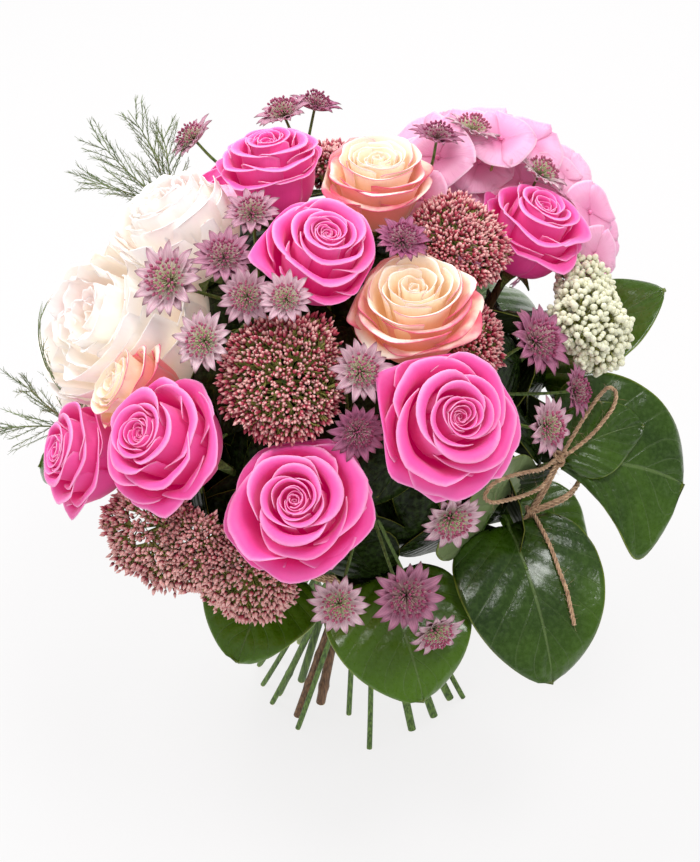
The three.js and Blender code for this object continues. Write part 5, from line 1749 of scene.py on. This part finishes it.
roses = [(place, reach) for other, place, reach in heads if other.startswith("rose")]
for number, (name, _, _, seat, face, size) in enumerate(HYDRANGEAS):
    chance = np.random.default_rng(600 + number)
    front = number == 0
    axis = direction(*face)
    centre = seat_point(seat) + ((8, 8, 3) if front else (0, 0, 0))
    base = centre - axis * (0.68 * size + GAP)
    out = spread(64 if front else 46, 128, chance, 0.05)
    ball = [1.1, 1.1, 0.86] if front else [1, 1, 0.82]
    at = centre + (out * ball * size) @ basis(axis).T
    aims = out @ basis(axis).T
    if front:
        shown = aims @ np.array([0, 0.72, 0.69]) > FAR_SIDE
        at, aims = at[shown], aims[shown]
    clear = [[np.linalg.norm(point - place) > reach - 10 for place, reach in roses] for point in at]
    keep = np.all(clear, axis=1)
    if front:
        at, keep = behind_roses(at, keep, centre, roses)
        aims = aims + TOWARDS_VIEWER * OUTLOOK
        aims /= np.linalg.norm(aims, axis=1, keepdims=True)
    meshes = []
    for half in (0, 1):
        chosen = keep & (np.arange(len(at)) % 2 == half)
        many = int(chosen.sum())
        sizes = chance.uniform(0.72, 1.0, many) * size / 54
        tints = chance.uniform(0, 1, many)
        pattern = floret_pattern(610 + half)
        florets = cluster_mesh(pattern, SEPAL, 620 + half, at[chosen], aims[chosen], sizes, tints)
        corners = np.empty(3 * len(florets.vertices))
        florets.vertices.foreach_get("co", corners)
        corners = around_heads(corners.reshape(-1, 3) / MM, "rose", 0.98)
        florets.vertices.foreach_set("co", corners.ravel() * MM)
        meshes.append(florets)
    route = stem_route(name, base, axis, 16)
    core = [smooth_line([base, base + (point - base) * 0.5 + axis * 2, point - aim * 6], 4)
            for point, aim in zip(at[keep], aims[keep])]
    twigs = stalk_mesh(core, [0.8] * len(core), [0.0] * len(core), sides=5, material=TWIG)
    piece(name + "_sepals", joined(twigs, *meshes), "hydrangea_sepal", name + "_head")
    stem = stalk_mesh([route], [stem_radii(route, THICKEST_STEM, 2, 630)], [STEM_TINTS.get(name, FRESH)])
    piece(name + "_stalk", joined(stem, inner_leaves(route, 5, 370 + number)), "stalk", name + "_stem")
    print(name, "florets:", int(keep.sum()))

# %% [markdown]
# A collar leaf is one sheet whose midrib bends from one pitch to another, with a waved edge. The grid is
# built row by row from the foot to the tip: where the midrib is, which way is across, and how wide each
# half is there.

# %% The grid of a leaf
LEAF_ROWS, LEAF_COLUMNS = 30, 27
MIDRIB = LEAF_COLUMNS // 2
EVEN_SKEW = (0.72, 0.72)


def turned_about(vector, axis, angle):
    return np.array(Matrix.Rotation(angle, 3, Vector(axis)) @ Vector(vector))


def leaf_grid(start, way, pitch, length, width, roll, skew=EVEN_SKEW):
    """Points of a leaf's middle surface. Row 0 is where the blade starts, and u runs across it. The skew
    says for each half whether it is widest near the foot, under 1, or near the tip, over 1."""
    out = flat(way)
    side = np.cross(UP, out)
    grid = np.empty((LEAF_ROWS, LEAF_COLUMNS, 3))
    steps = 8
    for j, v in enumerate(np.linspace(0, 1, LEAF_ROWS)):
        angles = np.radians([pitch[0] + (pitch[1] - pitch[0]) * v * (k + 0.5) / steps for k in range(steps)])
        middle = start + (out * np.cos(angles).sum() + UP * np.sin(angles).sum()) * length * v / steps
        bend = math.radians(pitch[0] + (pitch[1] - pitch[0]) * v)
        along = out * math.cos(bend) + UP * math.sin(bend)
        across = turned_about(side, along, math.radians(roll))
        normal = np.cross(along, across)
        halves = [width / 2 * math.sin(math.pi * (0.06 + 0.94 * v) ** power) ** 0.6 for power in skew]
        for i, u in enumerate(np.linspace(-1, 1, LEAF_COLUMNS)):
            half = halves[int(u > 0)]
            lift = 0.16 * half * abs(u) - 0.12 * half * u * u + 2 * math.sin(9 * v + 2 * u) * u * u
            ribs = math.sin(2 * math.pi * 6 * (v - 0.42 * abs(u) ** 0.8))
            lift += 0.35 * ribs * (1 - v) * min(1, 4 * abs(u))
            grid[j, i] = middle + across * u * half + normal * lift
    return grid


print("a leaf's grid has", LEAF_ROWS, "rows and", LEAF_COLUMNS, "columns")

# %% [markdown]
# Each leaf has its stalk, which starts inside the blade and goes down through the waist, and a few small
# leaves low on that stalk. One leaf of the front has a second lobe.

# %% Collar leaves
LEAF_TINTS = {"leaf_3": 0.5, "leaf_4": 0.7, "leaf_5": 0.8, "leaf_7": 0.8, "leaf_6": 0.5}
TWO_LOBED = "leaf_2"
LEAF_SKEWS = {TWO_LOBED: (2.2, 0.62)}

for number, (name, _, start, way, pitch, length, width, roll) in enumerate(LEAVES):
    skew = LEAF_SKEWS.get(name, EVEN_SKEW)
    grid = leaf_grid(ring_point(*start), way, pitch, length, width, roll, skew)
    heap = Heap("back", "tint")
    heap.add_sheet(grid, LEAF_THICKNESS, tint=LEAF_TINTS.get(name, 0.0))
    if name == TWO_LOBED:
        lobe = leaf_grid(ring_point(*start) + (1, 0, 5), way + 16, (34, -12), 48, 40, 44)
        heap.add_sheet(lobe, LEAF_THICKNESS, tint=0.0)
    blade = heap.mesh(name)
    blade.materials.append(LEAF)
    foot, inward = grid[1, MIDRIB], grid[9, MIDRIB]
    back = foot + (foot - inward) / np.linalg.norm(foot - inward) * 9
    low = [straight_run(name, height) for height in (0, WAIST, 150)]
    route = smooth_line([*low, back, foot, inward], 3)
    petiole = stalk_mesh([route], [np.linspace(1.7, 1.1, len(route))], [FRESH], sides=8)
    piece(name + "_blade", joined(blade, petiole, inner_leaves(route, 3, 400 + number)), "leaf", name)
print("collar leaves:", len(LEAVES))

# %% [markdown]
# Asparagus fern is wiry and feathery: a thin rib, side branches that get shorter towards the tip, and
# tufts of soft needles along them. All of it is lines, so the stalk recipe makes the whole spray.

# %% Ferns
def fern_finish():
    fern = Finish("fern", Roughness=0.6, Subsurface_Weight=0.1)
    mottle = fern.noise(fern.place(70), 2)
    colour = fern.mix(fern.rise(mottle, 0.3, 0.7), shade(66, 92, 38), shade(122, 142, 82))
    return fern.set(Base_Color=colour)


FERN = fern_finish()
SIDE_BRANCHES = 15
TUFTS = 14
needles = 0
for number, (name, _, fork, fronds) in enumerate(FERNS):
    chance = np.random.default_rng(700 + number)
    fork_point = seat_point(fork)
    upward = direction(fork[0], fork[1])
    stem = stem_route(name, fork_point, upward, 20)
    routes, radii = [stem], [np.full(len(stem), 1.2)]
    for turn, lean, length in fronds:
        way = direction(turn, lean)
        across = np.cross(UP, way)
        across /= np.linalg.norm(across)
        face = np.cross(way, across)
        bow = chance.uniform(-4, 4)
        rib = np.array([fork_point + way * length * t + across * bow * math.sin(math.pi * t) - UP * 3 * t * t
                        for t in np.linspace(0, 1, 14)])
        routes.append(rib)
        radii.append(np.linspace(0.6, 0.2, len(rib)))
        for k in range(SIDE_BRANCHES):
            t = 0.02 + 0.9 * k / SIDE_BRANCHES
            root = rib[0] + (rib[-1] - rib[0]) * t + across * bow * math.sin(math.pi * t)
            sign = 1 if k % 2 else -1
            reach = 26 * (1 - 0.6 * t) * chance.uniform(0.7, 1.15)
            away = way + across * sign * chance.uniform(0.3, 0.7) + face * chance.uniform(-0.3, 0.3)
            away /= np.linalg.norm(away)
            curve = way * chance.uniform(1, 4) - UP * chance.uniform(0, 3)
            routes.append(np.array([root + away * reach * s + curve * s * s for s in np.linspace(0, 1, 6)]))
            radii.append(np.linspace(0.26, 0.14, 6))
            for s in np.linspace(0.06, 1, TUFTS):
                joint = root + away * reach * s + curve * s * s
                for _ in range(2):
                    lean_out = away + chance.normal(0, 0.34, 3)
                    lean_out /= np.linalg.norm(lean_out)
                    routes.append(np.array([joint, joint + lean_out * chance.uniform(2.2, 4.4)]))
                    radii.append(np.array([0.15, 0.07]))
                    needles += 1
    routes = [around_heads(line, ("rose", "peony"), 1.0) for line in routes]
    mesh = stalk_mesh(routes, radii, [FRESH] * len(routes), sides=3, material=FERN)
    piece(name + "_spray", mesh, "fern", name)
print("fern needles:", needles)

# %% [markdown]
# The floor is a pale sheet that glows a little, and it isn't part of the bunch.

# %% Floor
floor_mesh = bpy.data.meshes.new("floor")
floor_mesh.from_pydata([(-4, -4, 0), (4, -4, 0), (4, 4, 0), (-4, 4, 0)], [], [(0, 1, 2, 3)])
floor = bpy.data.objects.new("floor", floor_mesh)
bpy.context.scene.collection.objects.link(floor)
paper = Finish("paper", Roughness=0.9, Base_Color=shade(100, 100, 101), Specular_IOR_Level=0.1,
               Emission_Color=(1, 0.99, 0.988, 1), Emission_Strength=0.8)
floor_mesh.materials.append(paper.material)
print("floor laid, of", paper.material.name)
